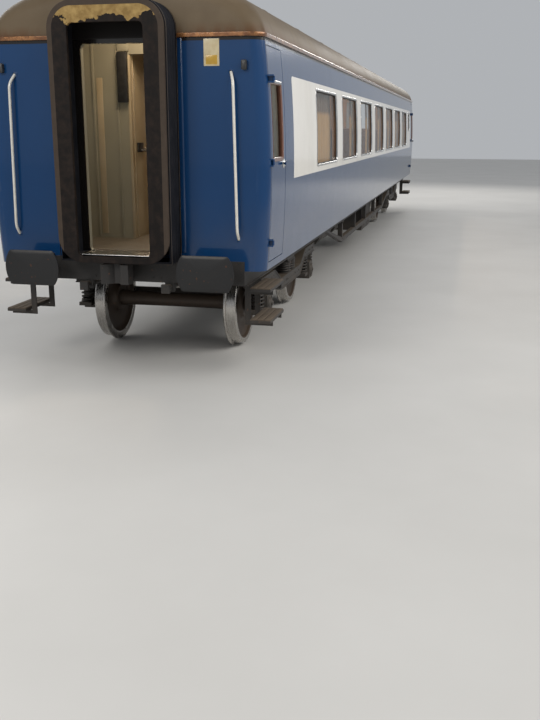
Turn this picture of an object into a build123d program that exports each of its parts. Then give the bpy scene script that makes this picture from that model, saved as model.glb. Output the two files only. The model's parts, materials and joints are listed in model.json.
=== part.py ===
from build123d import *
import os
from math import asin, atan2, cos, sin, sqrt

# A gangwayed bogie passenger coach, in millimetres.
# X runs along the coach with end A at -X, Y across it with the left side at +Y, and Z is up.
# Z = 0 is the tip of the wheel flanges, and the middle of the coach is at X = Y = 0.

os.makedirs("parts", exist_ok=True)

# Body shell
flange_depth = 28  # from the flange tip up to the rail level
rail = flange_depth
body_length = 19660  # over the end walls
half_width = 1412  # at the waist
side_radius = 11000  # curve of the body side, seen from the end
corner_radius = 120
wall = 70  # side, end and roof, outer skin to lining
foot_height = rail + 1050
waist_height = rail + 1950
gutter_height = rail + 3150
roof_height = rail + 3772
cantrail_radius = 450
dome_start = 250  # the roof ends stand upright this far above the gutter, then lean back in an arc
dome_radius = 450
floor_height = rail + 1200
floor_thickness = 60
fit = 0.3  # gap between seated pieces
half_length = body_length / 2

# Saloon windows: a rounded opening in the outer skin, with a square rebate for the glass behind it
window_count = 7
window_pitch = 2140
window_width = 1610
window_height = 850
window_corner = 45
window_drop = 355  # window heads below the gutter
glass_thickness = 8
glass_inset = 24
glass_lip = 20  # overlap of the skin and the glass
toilet_window_width = 520
toilet_window_height = 460
toilet_window_place = 1750  # from the end wall

# Slam doors, two at each end
door_start = 125  # from the end wall to the opening
door_opening = 633.5
door_height = 1950
door_bottom = rail + 1130
door_thickness = 52
hinge_gap = 8
latch_gap = 13.5
door_window_width = 480
door_window_height = 740
door_window_shift = 14  # from the middle of the leaf towards the hinges
hinge_offset = 16  # hinge line outside the waist
hinge_radius = 11
hinge_play = 0.5
hinge_root = 20  # depth of the hinge arms in the wall and the leaf
knuckle_height = 46
knuckle_arm = 44
ear_height = 12
ear_reach = 9  # half the square end of each fixed plate
ear_arm = 37
arm_gap = 2  # from the hinge line to each arm
hinge_heights = (door_bottom + 160, door_bottom + 900, door_bottom + 1640)
handle_height = floor_height + 830
handle_place = 90  # from the latch edge of the leaf
handle_boss_radius = 22
handle_boss_reach = 25
handle_length = 130
handle_width = 30
handle_thickness = 14

# Gangways
gangway_half_width = 560
gangway_bottom = floor_height - 70
gangway_top = rail + 3460
gangway_radius = 250
gangway_projection = 330
passage_half_width = 385
passage_top = rail + 3110
passage_radius = 40
faceplate_thickness = 36
faceplate_width = 190
faceplate_inset = 12  # from the bellows' ridges to the edge of the faceplate
faceplate_sill = 60
bellows_ridge = 46
bellows_valley = 22
bellows_fold = 24
bellows_width = 110

# Running gear
bogie_centres = 14173
wheelbase = 2591
wheel_radius = 457
wheel_width = 135
rim_depth = 72
rim_recess = 45  # from the rim's outer face to the web
flange_width = 30
flange_radius = wheel_radius + flange_depth
back_to_back = 1362
axle_radius = 85
journal_radius = 65
journal_centre = 1000
journal_play = 0.5
axle_height = rail + wheel_radius
axlebox_width = 230
axlebox_length = 190
axlebox_cover = 10  # thickness of the closed outer end
axlebox_wing = 300  # reach of the spring seats from the axle
wing_drop = 20  # top of the spring seats below the axle
wing_thickness = 40
frame_width = 150
frame_depth = 120
frame_end_height = rail + 672  # underside of the frame over the axleboxes
frame_middle_height = rail + 492  # underside of the frame at the middle
frame_half_length = 1640
frame_drop_start = 600
frame_drop_end = 950
frame_bend = 80
frame_middle_extra = 20  # the frame is deeper at the middle
transom_place = 330
transom_width = 140
spring_radius = 78
spring_place = 205  # from the axle to each primary spring
bolster_spring_radius = 95
bolster_spring_place = 140
bolster_bottom = rail + 770
bolster_depth = 110
bolster_width = 420
pivot_radius = 150
pivot_height = 60
pivot_rim = 20  # the body's pad is wider than the pivot
brake_gap = 12
shoe_thickness = 45
shoe_width = 80
shoe_height = 300
shoe_edge = 6  # from the wheel's outer face
brake_hanger_width = 36
brake_hanger_depth = 30
brake_hanger_lead = 8
brake_bracket_size = 60
brake_bracket_length = 200
brake_bracket_rise = 130  # above the underside of the frame at the middle
brake_beam_width = 50
brake_beam_depth = 70
brake_beam_sink = 10  # depth of the beam in the shoes

# Underframe
sole_y = 1180  # outer face of each solebar
sole_depth = 250
sole_flange = 80
sole_web = 14
sole_top = floor_height - floor_thickness
sole_bottom = sole_top - sole_depth
headstock_thickness = 85
headstock_depth = 230
member_width = 110
member_depth = 150
member_places = (0, 1700, 3400, 5000, 8900)
end_longeron_y = 220
end_longeron_width = 70
truss_places = (0, 1650, 3300)
truss_foot = 4900
truss_height = rail + 540
truss_size = 75

# Draw and buffing gear
buffer_height = rail + 1054
buffer_half_spacing = 870
buffer_reach = 300
buffer_base_size = 220
buffer_base_thickness = 24
buffer_case_radius = 105
buffer_case_reach = 150
buffer_ram_radius = 70
buffer_head_radius = 280
buffer_head_half_height = 170
buffer_head_thickness = 30
coupler_reach = 310
coupler_height = 190
coupler_drop = 130  # underside below the buffers' centre line
shank_half_width = 55
shank_length = 150
guard_reach = 150
jaw_depth = 85
pipe_y = 420
pipe_radius = 30
pipe_drop = 45  # centre line below the headstock
pipe_back = 350
pipe_reach = 110
pipe_head_size = 84
pipe_head_length = 40
pipe_bracket_width = 60
pipe_bracket_size = 90

# Saloon
vestibule_depth = 1050  # end wall to the vestibule bulkhead
saloon_start = 2310  # end wall to the saloon bulkhead
bulkhead_thickness = 40
doorway_half_width = 310
doorway_height = 1900
corridor_half_width = 330
seat_height = 430
seat_depth = 520
cushion_thickness = 140
back_thickness = 120
back_height = 760
cushion_rise = 12
seat_lean = 60  # foot of the back ahead of its head
seat_back_gap = 8  # half the gap between seats that stand back to back
double_seat_width = 1160
single_seat_width = 600
seat_wall_gap = 12
seat_frame_inset = 30  # front and back
seat_frame_side_inset = 60
table_height = 720
table_depth = 640
table_thickness = 28
table_inset = 60  # narrower than the seats
table_corner = 40
table_leg = 56
table_leg_place = 180  # from the aisle edge of the seat
rack_height = floor_height + 1700
rack_depth = 380
rack_bar = 24
rack_front = 20  # bars' places from the wall and the front
rack_back = 30
rack_bracket_thickness = 24
rack_bracket_drop = 120
rack_bracket_rise = 20
lamp_length = 520
lamp_width = 170
lamp_depth = 45
lamp_bevel = 25

# Roof ventilators, in two rows
ventilator_y = 520
ventilator_length = 300
ventilator_width = 190
ventilator_height = 95
ventilator_shoulder = 50

# Equipment under the floor
hang_top = rail + 880
hanger_size = 40
reservoir_radius = 230
reservoir_length = 1250
reservoir_y = 560
reservoir_sink = 10  # depth of the hangers in the reservoir
reservoir_end_radius = 150
reservoir_end_thickness = 25
box_side_gap = 20  # from the truss to the boxes

# Footsteps, gutter strip and end fittings
step_length = 620
step_depth = 210
step_inset = 10  # from the waist to the edge of the boards
step_heights = (rail + 480, rail + 790)
step_board = 30
step_strap = 16
step_strap_width = 60
step_strap_half_spacing = 200
step_arm = 40
gutter_strip = 22
gutter_strip_foot = 2  # below the gutter line
gutter_strip_height = 38
rail_bar = 14
rail_reach = 60
# across the end and up: the foot on the wall and the bend, at the top and at the bottom
handrail_top_foot = (1063, rail + 2848)
handrail_top_bend = (1095, rail + 2762)
handrail_low_bend = (1125, rail + 1420)
handrail_low_foot = (1125, rail + 1350)
socket_y = 1190
socket_height = rail + 2905
socket_width = 48
socket_depth = 85
socket_corner = 12
socket_reach = 45

ends = (("a", -1), ("b", 1))
sides = (("left", 1), ("right", -1))
through = 2 * half_width  # long enough to pass through a whole side
split_x = half_length - door_start
door_middle = half_length - door_start - door_opening / 2
window_mid_height = gutter_height - window_drop - window_height / 2
window_places = [(i - (window_count - 1) / 2) * window_pitch for i in range(window_count)]
leaf_width = door_opening - hinge_gap - latch_gap
hinge_y = half_width + hinge_offset
wheel_places = (-wheelbase / 2, wheelbase / 2)
centred_low = (Align.CENTER, Align.CENTER, Align.MIN)
centred_high = (Align.CENTER, Align.CENTER, Align.MAX)


def side_y(height, inset=0):
    """Half width of the body at a height, measured to a line set in from the outer skin."""
    reach = side_radius - inset
    return half_width - side_radius + sqrt(reach**2 - (height - waist_height) ** 2)


def body_block(inset, low, high, corner=0):
    """The curved-sided body between two heights, set in all round, with round or square corners."""
    middle = (low + high) / 2
    with BuildPart(mode=Mode.PRIVATE) as block:
        with BuildSketch(Plane.YZ):
            with BuildLine():
                for side in (1, -1):
                    ThreePointArc(
                        (side * side_y(low, inset), low),
                        (side * side_y(middle, inset), middle),
                        (side * side_y(high, inset), high),
                    )
                for height in (low, high):
                    Line((side_y(height, inset), height), (-side_y(height, inset), height))
            make_face()
        extrude(amount=half_length - inset, both=True)
        if corner:
            fillet(block.edges().filter_by(GeomType.CIRCLE), corner)
    return block.part


# The roof section is a crown arc between two cantrail arcs that leave the body side without a corner.
lean = asin((gutter_height - waist_height) / side_radius)
cant_y = side_y(gutter_height) - cantrail_radius * cos(lean)
cant_z = gutter_height - cantrail_radius * sin(lean)
rise = roof_height - cant_z
crown_radius = (cant_y**2 + rise**2 - cantrail_radius**2) / (2 * (rise - cantrail_radius))
crown_z = roof_height - crown_radius
cant_turn = atan2(cant_y, cant_z - crown_z)


def roof_block(inset, corner=0):
    """The roof above the gutter, its ends leaning back, set in all round, with round or square corners."""
    small = cantrail_radius - inset
    large = crown_radius - inset
    base_y = cant_y + sqrt(small**2 - (gutter_height - cant_z) ** 2)
    base_turn = atan2(base_y - cant_y, gutter_height - cant_z)
    mid_turn = (base_turn + cant_turn) / 2
    end_x = half_length - inset
    upright_top = gutter_height + dome_start
    with BuildPart(mode=Mode.PRIVATE) as block:
        with BuildSketch(Plane.YZ):
            with BuildLine():
                for side in (1, -1):
                    ThreePointArc(
                        (side * base_y, gutter_height),
                        (side * (cant_y + small * sin(mid_turn)), cant_z + small * cos(mid_turn)),
                        (side * large * sin(cant_turn), crown_z + large * cos(cant_turn)),
                    )
                ThreePointArc(
                    (large * sin(cant_turn), crown_z + large * cos(cant_turn)),
                    (0, crown_z + large),
                    (-large * sin(cant_turn), crown_z + large * cos(cant_turn)),
                )
                Line((base_y, gutter_height), (-base_y, gutter_height))
            make_face()
        extrude(amount=end_x, both=True)
        with BuildSketch(Plane.XZ):
            with BuildLine():
                tops = []
                for end in (1, -1):
                    Line((end * end_x, gutter_height - wall), (end * end_x, upright_top))
                    lean_back = JernArc(
                        (end * end_x, upright_top), (0, 1), dome_radius - inset, end * 90
                    )
                    tops.append(lean_back @ 1)
                Line(*tops)
                Line((end_x, gutter_height - wall), (-end_x, gutter_height - wall))
            make_face()
        extrude(amount=through, both=True, mode=Mode.INTERSECT)
        if corner:
            with BuildSketch(Plane.XY.offset(gutter_height)):
                RectangleRounded(2 * end_x, 2 * (base_y + fit), corner)
            extrude(amount=roof_height, mode=Mode.INTERSECT)
    return block.part


def arch(half, bottom, top, radius):
    """A passage outline seen from the end: upright sides, flat foot, rounded head."""
    with BuildSketch(Plane.YZ, mode=Mode.PRIVATE) as outline:
        with Locations((0, (bottom + top) / 2)):
            Rectangle(2 * half, top - bottom)
        fillet(outline.vertices().group_by(Axis.Z)[-1], radius)
    return outline.sketch


def across(x, y=0, z=0, end=1):
    """A plane across the coach at a place, facing one of its ends: its x is Y and its y is up or down."""
    return Plane(origin=(x, y, z), x_dir=(0, 1, 0), z_dir=(end, 0, 0))


def hinge_x(end, side):
    """Place of a door's hinge line: on the left of the opening, seen from outside."""
    return end * door_middle + side * (door_opening / 2 - hinge_gap / 2)


def hinge_ears(end, side):
    """The fixed half of a door's hinges: a square-ended plate above and below each knuckle."""
    x = hinge_x(end, side)
    front = hinge_y + ear_reach
    with BuildPart(mode=Mode.PRIVATE) as ears:
        for z in hinge_heights:
            root = side_y(z) - hinge_root
            for low in (z - ear_height - hinge_play, z + knuckle_height + hinge_play):
                with BuildSketch(Plane.XY.offset(low)):
                    with Locations((x, side * hinge_y)):
                        Rectangle(2 * ear_reach, 2 * ear_reach)
                    with Locations((x + side * (arm_gap + ear_arm / 2), side * (root + front) / 2)):
                        Rectangle(ear_arm, front - root)
                extrude(amount=ear_height)
    return ears.part


def window_outline(width, height, corner):
    """One outline in the sketch that is open."""
    if corner:
        RectangleRounded(width, height, corner)
    else:
        Rectangle(width, height)


def window_bars(side, grow, corner=0):
    """The bars that cut one side's windows, grown all round, with round or square corners."""
    toilet_x = -side * (half_length - toilet_window_place)
    toilet_z = gutter_height - window_drop - toilet_window_height / 2
    with BuildSketch(Plane.XZ, mode=Mode.PRIVATE) as outlines:
        for x in window_places:
            with Locations((x, window_mid_height)):
                window_outline(window_width + 2 * grow, window_height + 2 * grow, corner)
        with Locations((toilet_x, toilet_z)):
            window_outline(toilet_window_width + 2 * grow, toilet_window_height + 2 * grow, corner)
    return extrude(outlines.sketch, amount=-side * through, mode=Mode.PRIVATE)


def door_window_bar(end, side, grow, corner=0):
    """The bar that cuts a door's window, grown all round, with round or square corners."""
    leaf_x = hinge_x(end, side) - side * (hinge_gap / 2 + leaf_width / 2)
    with BuildSketch(Plane.XZ, mode=Mode.PRIVATE) as outline:
        with Locations((leaf_x + side * door_window_shift, door_window_mid)):
            window_outline(door_window_width + 2 * grow, door_window_height + 2 * grow, corner)
    return extrude(outline.sketch, amount=-side * through, mode=Mode.PRIVATE)


door_window_mid = gutter_height - window_drop - door_window_height / 2
body_shell = body_block(0, foot_height, gutter_height, corner_radius) - body_block(
    wall, foot_height - wall, gutter_height + wall
)
behind_glass = body_block(glass_inset, foot_height, gutter_height)
glass_shell = body_block(glass_inset + fit, foot_height, gutter_height) - body_block(
    glass_inset + fit + glass_thickness, foot_height - wall, gutter_height + wall
)

# Side walls
for side_name, side in sides:
    rebates = window_bars(side, glass_lip) & behind_glass
    with BuildPart() as side_wall:
        add(body_shell)
        with Locations((0, side * half_width, (foot_height + gutter_height) / 2)):
            Box(2 * split_x, through, gutter_height, mode=Mode.INTERSECT)
        add(window_bars(side, 0, window_corner), mode=Mode.SUBTRACT)
        add(rebates, mode=Mode.SUBTRACT)
        for end_name, end in ends:
            with Locations((end * door_middle, side * half_width, door_bottom - hinge_gap)):
                Box(
                    door_opening,
                    half_width,
                    door_height + 2 * hinge_gap,
                    align=centred_low,
                    mode=Mode.SUBTRACT,
                )
            if end != side:
                add(hinge_ears(end, side))
    side_wall.part.label = f"side_wall_{side_name}"
    export_step(side_wall.part, f"parts/side_wall_{side_name}.step")

# Window glass, curved with the wall and seated in the rebates
for side_name, side in sides:
    with BuildPart() as glass:
        add(glass_shell)
        add(window_bars(side, glass_lip - fit), mode=Mode.INTERSECT)
    glass.part.label = f"window_glass_{side_name}"
    export_step(glass.part, f"parts/window_glass_{side_name}.step")

# End walls with their corner pillars
for end_name, end in ends:
    with BuildPart() as end_wall:
        add(body_shell)
        with Locations((end * (split_x + half_length) / 2, 0, gutter_height / 2)):
            Box(door_start, 2 * through, 2 * gutter_height, mode=Mode.INTERSECT)
        passage = arch(passage_half_width, floor_height, passage_top, passage_radius)
        extrude(passage, amount=half_length, both=True, mode=Mode.SUBTRACT)
        with Locations((end * half_length, 0, sole_top)):
            Box(
                4 * wall,
                2 * (sole_y + fit),
                gutter_height,
                align=centred_high,
                mode=Mode.SUBTRACT,
            )
        add(hinge_ears(end, end))
    end_wall.part.label = f"end_wall_{end_name}"
    export_step(end_wall.part, f"parts/end_wall_{end_name}.step")

# Roof
with BuildPart() as roof:
    add(roof_block(0, corner_radius))
    add(roof_block(wall), mode=Mode.SUBTRACT)
roof.part.label = "roof"
export_step(roof.part, "parts/roof.step")

# Rain gutter: a strip round the body at the foot of the roof, broken at the gangways
gutter_foot = gutter_height - gutter_strip_foot
gutter_root = side_y(gutter_foot) + fit
with BuildPart() as rain_gutter:
    with BuildSketch(Plane.XY.offset(gutter_foot)):
        RectangleRounded(
            2 * (half_length + fit + gutter_strip),
            2 * (gutter_root + gutter_strip),
            corner_radius + gutter_strip,
        )
        RectangleRounded(2 * (half_length + fit), 2 * gutter_root, corner_radius, mode=Mode.SUBTRACT)
        Rectangle(body_length + 4 * gutter_strip, 2 * (gangway_half_width + fit), mode=Mode.SUBTRACT)
    extrude(amount=gutter_strip_height)
rain_gutter.part.label = "rain_gutter"
export_step(rain_gutter.part, "parts/rain_gutter.step")

# Roof ventilators: low hoods with rounded tops, square to the roof
ventilator_turn = asin(ventilator_y / crown_radius)
ventilator_foot = crown_radius + fit
with BuildPart() as roof_ventilators:
    for x in window_places:
        for side in (1, -1):
            foot_y = side * ventilator_foot * sin(ventilator_turn)
            foot_z = crown_z + ventilator_foot * cos(ventilator_turn)
            half = ventilator_width / 2
            with BuildSketch(
                Plane(
                    origin=(x, foot_y, foot_z),
                    x_dir=(0, cos(ventilator_turn), -side * sin(ventilator_turn)),
                    z_dir=(1, 0, 0),
                )
            ):
                with BuildLine():
                    Polyline(
                        (half, ventilator_shoulder), (half, 0), (-half, 0), (-half, ventilator_shoulder)
                    )
                    ThreePointArc(
                        (half, ventilator_shoulder), (0, ventilator_height), (-half, ventilator_shoulder)
                    )
                make_face()
            extrude(amount=ventilator_length / 2, both=True)
roof_ventilators.part.label = "roof_ventilators"
export_step(roof_ventilators.part, "parts/roof_ventilators.step")

# Floor, let in between the walls
with BuildPart() as floor:
    add(body_block(wall + fit, sole_top, floor_height))
floor.part.label = "floor"
export_step(floor.part, "parts/floor.step")

# Slam doors and their droplight glass
leaf_shell = body_block(0, door_bottom, door_bottom + door_height) - body_block(
    door_thickness, door_bottom - wall, door_bottom + door_height + wall
)
for end_name, end in ends:
    for side_name, side in sides:
        hinge = hinge_x(end, side)
        leaf_x = hinge - side * (hinge_gap / 2 + leaf_width / 2)
        rebate = door_window_bar(end, side, glass_lip) & behind_glass
        with BuildPart() as door:
            add(leaf_shell)
            with Locations((leaf_x, side * half_width, door_bottom + door_height / 2)):
                Box(leaf_width, half_width, door_height, mode=Mode.INTERSECT)
            add(door_window_bar(end, side, 0, window_corner), mode=Mode.SUBTRACT)
            add(rebate, mode=Mode.SUBTRACT)
            for z in hinge_heights:
                root = side_y(z) - hinge_root
                with BuildSketch(Plane.XY.offset(z)):
                    with Locations((hinge, side * hinge_y)):
                        Circle(hinge_radius)
                    with Locations((hinge - side * (arm_gap + knuckle_arm / 2), side * (root + hinge_y) / 2)):
                        Rectangle(knuckle_arm, hinge_y - root)
                extrude(amount=knuckle_height)
            handle_x = leaf_x - side * (leaf_width / 2 - handle_place)
            handle_root = side_y(handle_height) - hinge_root
            handle_face = side_y(handle_height) + handle_boss_reach
            with BuildSketch(Plane.XZ.offset(-side * handle_root)):
                with Locations((handle_x, handle_height)):
                    Circle(handle_boss_radius)
            extrude(amount=-side * (handle_face - handle_root))
            with BuildSketch(Plane.XZ.offset(-side * handle_face)):
                with Locations((handle_x, handle_height)):
                    Rectangle(handle_length, handle_width)
            extrude(amount=-side * handle_thickness)
        door.part.label = f"door_{end_name}_{side_name}"
        export_step(door.part, f"parts/door_{end_name}_{side_name}.step")
        with BuildPart() as door_glass:
            add(glass_shell)
            add(door_window_bar(end, side, glass_lip - fit), mode=Mode.INTERSECT)
        door_glass.part.label = f"door_glass_{end_name}_{side_name}"
        export_step(door_glass.part, f"parts/door_glass_{end_name}_{side_name}.step")

# Gangway bellows: valleys and ridges in turn between the end wall and the faceplate
bellows_depth = gangway_projection - faceplate_thickness
fold_count = round((bellows_depth - bellows_valley) / (bellows_ridge + bellows_valley))
fold_pitch = (bellows_depth - bellows_valley) / fold_count
bellows_inside = arch(
    gangway_half_width - bellows_width,
    floor_height,
    gangway_top - bellows_width,
    gangway_radius - bellows_width,
)
with BuildPart() as gangway_bellows:
    for end_name, end in ends:
        for i in range(2 * fold_count + 1):
            valley = i % 2 == 0
            shrink = bellows_fold if valley else 0
            start = (i // 2) * fold_pitch + (0 if valley else bellows_valley)
            depth = bellows_valley if valley else fold_pitch - bellows_valley
            outside = arch(
                gangway_half_width - shrink,
                gangway_bottom + shrink,
                gangway_top - shrink,
                gangway_radius - shrink,
            )
            ring = Pos(end * (half_length + start), 0, 0) * (outside - bellows_inside)
            extrude(ring, amount=end * depth)
gangway_bellows.part.label = "gangway_bellows"
export_step(gangway_bellows.part, "parts/gangway_bellows.step")

# Gangway faceplates
plate_half = gangway_half_width - faceplate_inset
plate_top = gangway_top - faceplate_inset
plate_radius = gangway_radius - faceplate_inset
with BuildPart() as gangway_faceplates:
    for end_name, end in ends:
        outside = arch(plate_half, gangway_bottom, plate_top, plate_radius)
        inside = arch(
            plate_half - faceplate_width,
            gangway_bottom + faceplate_sill,
            plate_top - faceplate_width,
            plate_radius - faceplate_width,
        )
        plate = Pos(end * (half_length + bellows_depth), 0, 0) * (outside - inside)
        extrude(plate, amount=end * faceplate_thickness)
gangway_faceplates.part.label = "gangway_faceplates"
export_step(gangway_faceplates.part, "parts/gangway_faceplates.step")

# Underframe: channel solebars, headstocks, bolsters, cross-members and a side truss
frame_reach = half_length - headstock_thickness
pad_foot = bolster_bottom + bolster_depth + pivot_height + fit
with BuildPart() as underframe:
    for side in (1, -1):
        with BuildSketch(across(-frame_reach)):
            with BuildLine():
                Polyline(
                    (side * sole_y, sole_top),
                    (side * (sole_y - sole_flange), sole_top),
                    (side * (sole_y - sole_flange), sole_top - sole_web),
                    (side * (sole_y - sole_web), sole_top - sole_web),
                    (side * (sole_y - sole_web), sole_bottom + sole_web),
                    (side * (sole_y - sole_flange), sole_bottom + sole_web),
                    (side * (sole_y - sole_flange), sole_bottom),
                    (side * sole_y, sole_bottom),
                    close=True,
                )
            make_face()
        extrude(amount=2 * frame_reach)
        with BuildSketch(Plane.XZ.offset(-side * (sole_y - truss_size))):
            with BuildLine():
                last = truss_places[-1]
                Polyline(
                    (-truss_foot - truss_size, sole_bottom),
                    (-last, truss_height),
                    (last, truss_height),
                    (truss_foot + truss_size, sole_bottom),
                    (truss_foot - truss_size, sole_bottom),
                    (last, truss_height + truss_size),
                    (-last, truss_height + truss_size),
                    (-truss_foot + truss_size, sole_bottom),
                    close=True,
                )
            make_face()
            for place in truss_places:
                with Locations((place, truss_height), (-place, truss_height)):
                    Rectangle(truss_size, sole_bottom - truss_height, align=(Align.CENTER, Align.MIN))
        extrude(amount=-side * truss_size)
    for place in member_places:
        with Locations((place, 0, sole_top), (-place, 0, sole_top)):
            Box(member_width, 2 * (sole_y - sole_web), member_depth, align=centred_high)
    for end_name, end in ends:
        inward = Align.MAX if end > 0 else Align.MIN
        with Locations((end * half_length, 0, sole_top)):
            Box(
                headstock_thickness,
                2 * sole_y,
                headstock_depth,
                align=(inward, Align.CENTER, Align.MAX),
            )
        with Locations((end * bogie_centres / 2, 0, sole_top)):
            Box(bolster_width, 2 * (sole_y - sole_web), member_depth, align=centred_high)
        with BuildSketch(Plane(origin=(end * bogie_centres / 2, 0, pad_foot))):
            Circle(pivot_radius + pivot_rim)
        extrude(amount=sole_top - member_depth - pad_foot)
        for side in (1, -1):
            with Locations((end * frame_reach, side * end_longeron_y, sole_top)):
                Box(
                    frame_reach - bogie_centres / 2,
                    end_longeron_width,
                    member_depth,
                    align=(inward, Align.CENTER, Align.MAX),
                )
underframe.part.label = "underframe"
export_step(underframe.part, "parts/underframe.step")

# Bogies: frame, bolster, springs, axleboxes, brakes, and four wheelsets
wheel_back = back_to_back / 2
wheel_face = wheel_back + wheel_width
axle_end = journal_centre + axlebox_length / 2 - axlebox_cover - journal_play
wing_top = axle_height - wing_drop
shoe_radius = wheel_radius + brake_gap
shoe_y = wheel_face - shoe_edge - shoe_width / 2
bracket_foot = frame_middle_height + brake_bracket_rise
frame_top_high = frame_end_height + frame_depth
frame_top_low = frame_middle_height + frame_depth + frame_middle_extra
# Half of a wheelset: radius, place along the axle
wheelset_outline = (
    (0, 0),
    (axle_radius, 0),
    (axle_radius, wheel_back),
    (flange_radius, wheel_back),
    (flange_radius, wheel_back + flange_width),
    (wheel_radius, wheel_back + flange_width),
    (wheel_radius, wheel_face),
    (wheel_radius - rim_depth, wheel_face),
    (wheel_radius - rim_depth, wheel_face - rim_recess),
    (axle_radius, wheel_face - rim_recess),
    (axle_radius, wheel_face),
    (journal_radius, wheel_face),
    (journal_radius, axle_end),
    (0, axle_end),
)
wheelset_number = 0
for end_name, end in ends:
    middle = end * bogie_centres / 2
    with BuildPart() as bogie_frame:
        for side in (1, -1):
            inner_y = journal_centre - frame_width / 2
            with BuildSketch(Plane.XZ.offset(-side * inner_y)) as outline:
                with BuildLine():
                    Polyline(
                        (middle - frame_half_length, frame_end_height),
                        (middle - frame_drop_end, frame_end_height),
                        (middle - frame_drop_start, frame_middle_height),
                        (middle + frame_drop_start, frame_middle_height),
                        (middle + frame_drop_end, frame_end_height),
                        (middle + frame_half_length, frame_end_height),
                        (middle + frame_half_length, frame_top_high),
                        (middle + frame_drop_end, frame_top_high),
                        (middle + frame_drop_start, frame_top_low),
                        (middle - frame_drop_start, frame_top_low),
                        (middle - frame_drop_end, frame_top_high),
                        (middle - frame_half_length, frame_top_high),
                        close=True,
                    )
                make_face()
                fillet(outline.vertices().sort_by(Axis.X)[2:-2], frame_bend)
            extrude(amount=-side * frame_width)
            for place in wheel_places:
                inward = 1 if place < 0 else -1
                bracket_x = middle + place + inward * (shoe_radius + shoe_thickness / 2)
                with Locations((bracket_x, side * inner_y, bracket_foot)):
                    Box(
                        brake_bracket_size,
                        brake_bracket_length,
                        brake_bracket_size,
                        align=(Align.CENTER, Align.MAX if side > 0 else Align.MIN, Align.MIN),
                    )
        for x in (-transom_place, transom_place):
            with Locations((middle + x, 0, frame_middle_height)):
                Box(transom_width, 2 * journal_centre - frame_width, frame_depth, align=centred_low)
    bogie_frame.part.label = f"bogie_frame_{end_name}"
    export_step(bogie_frame.part, f"parts/bogie_frame_{end_name}.step")

    with BuildPart() as bolster:
        with Locations((middle, 0, bolster_bottom)):
            Box(bolster_width, 2 * journal_centre + frame_width, bolster_depth, align=centred_low)
        with BuildSketch(Plane(origin=(middle, 0, bolster_bottom + bolster_depth))):
            Circle(pivot_radius)
        extrude(amount=pivot_height)
    bolster.part.label = f"bogie_bolster_{end_name}"
    export_step(bolster.part, f"parts/bogie_bolster_{end_name}.step")

    with BuildPart() as springs:
        for side in (1, -1):
            for place in wheel_places:
                for reach in (-spring_place, spring_place):
                    with BuildSketch(
                        Plane(origin=(middle + place + reach, side * journal_centre, wing_top))
                    ):
                        Circle(spring_radius)
                    extrude(amount=frame_end_height - wing_top)
            for reach in (-bolster_spring_place, bolster_spring_place):
                with BuildSketch(Plane(origin=(middle + reach, side * journal_centre, frame_top_low))):
                    Circle(bolster_spring_radius)
                extrude(amount=bolster_bottom - frame_top_low)
    springs.part.label = f"bogie_springs_{end_name}"
    export_step(springs.part, f"parts/bogie_springs_{end_name}.step")

    with BuildPart() as axleboxes:
        for side in (1, -1):
            for place in wheel_places:
                with Locations((middle + place, side * journal_centre, axle_height)):
                    Box(axlebox_width, axlebox_length, axlebox_width)
                with Locations((middle + place, side * journal_centre, wing_top)):
                    Box(2 * axlebox_wing, frame_width, wing_thickness, align=centred_high)
                inner_face = side * (journal_centre - axlebox_length / 2)
                with BuildSketch(
                    Plane(
                        origin=(middle + place, inner_face, axle_height),
                        x_dir=(1, 0, 0),
                        z_dir=(0, side, 0),
                    )
                ):
                    Circle(journal_radius + journal_play)
                extrude(amount=axlebox_length - axlebox_cover, mode=Mode.SUBTRACT)
    axleboxes.part.label = f"axleboxes_{end_name}"
    export_step(axleboxes.part, f"parts/axleboxes_{end_name}.step")

    with BuildPart() as brakes:
        for place in wheel_places:
            inward = 1 if place < 0 else -1
            for side in (1, -1):
                with BuildSketch(
                    Plane(
                        origin=(middle + place, side * shoe_y - shoe_width / 2, axle_height),
                        x_dir=(inward, 0, 0),
                        z_dir=(0, 1, 0),
                    )
                ):
                    Circle(shoe_radius + shoe_thickness)
                    Circle(shoe_radius, mode=Mode.SUBTRACT)
                    with Locations((shoe_radius, 0)):
                        Rectangle(3 * shoe_thickness, shoe_height, mode=Mode.INTERSECT)
                extrude(amount=shoe_width)
                hanger_x = middle + place + inward * (shoe_radius + shoe_thickness / 2 + brake_hanger_lead)
                with Locations((hanger_x, side * shoe_y, axle_height)):
                    Box(
                        brake_hanger_width,
                        brake_hanger_depth,
                        bracket_foot - axle_height,
                        align=centred_low,
                    )
            beam_back = shoe_radius + shoe_thickness - brake_beam_sink
            beam_x = middle + place + inward * (beam_back + brake_beam_width / 2)
            with Locations((beam_x, 0, axle_height)):
                Box(brake_beam_width, 2 * shoe_y, brake_beam_depth)
    brakes.part.label = f"bogie_brakes_{end_name}"
    export_step(brakes.part, f"parts/bogie_brakes_{end_name}.step")

    for place in wheel_places:
        wheelset_number += 1
        axle = Axis((middle + place, 0, axle_height), (0, 1, 0))
        with BuildPart() as wheelset:
            with BuildSketch(Plane(origin=(middle + place, 0, axle_height))):
                with BuildLine():
                    Polyline(*wheelset_outline, close=True)
                make_face()
            revolve(axis=axle)
            mirror(about=Plane.XZ)
        wheelset.part.label = f"wheelset_{wheelset_number}"
        export_step(wheelset.part, f"parts/wheelset_{wheelset_number}.step")

# Buffers
ram_reach = buffer_reach - buffer_head_thickness
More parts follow.
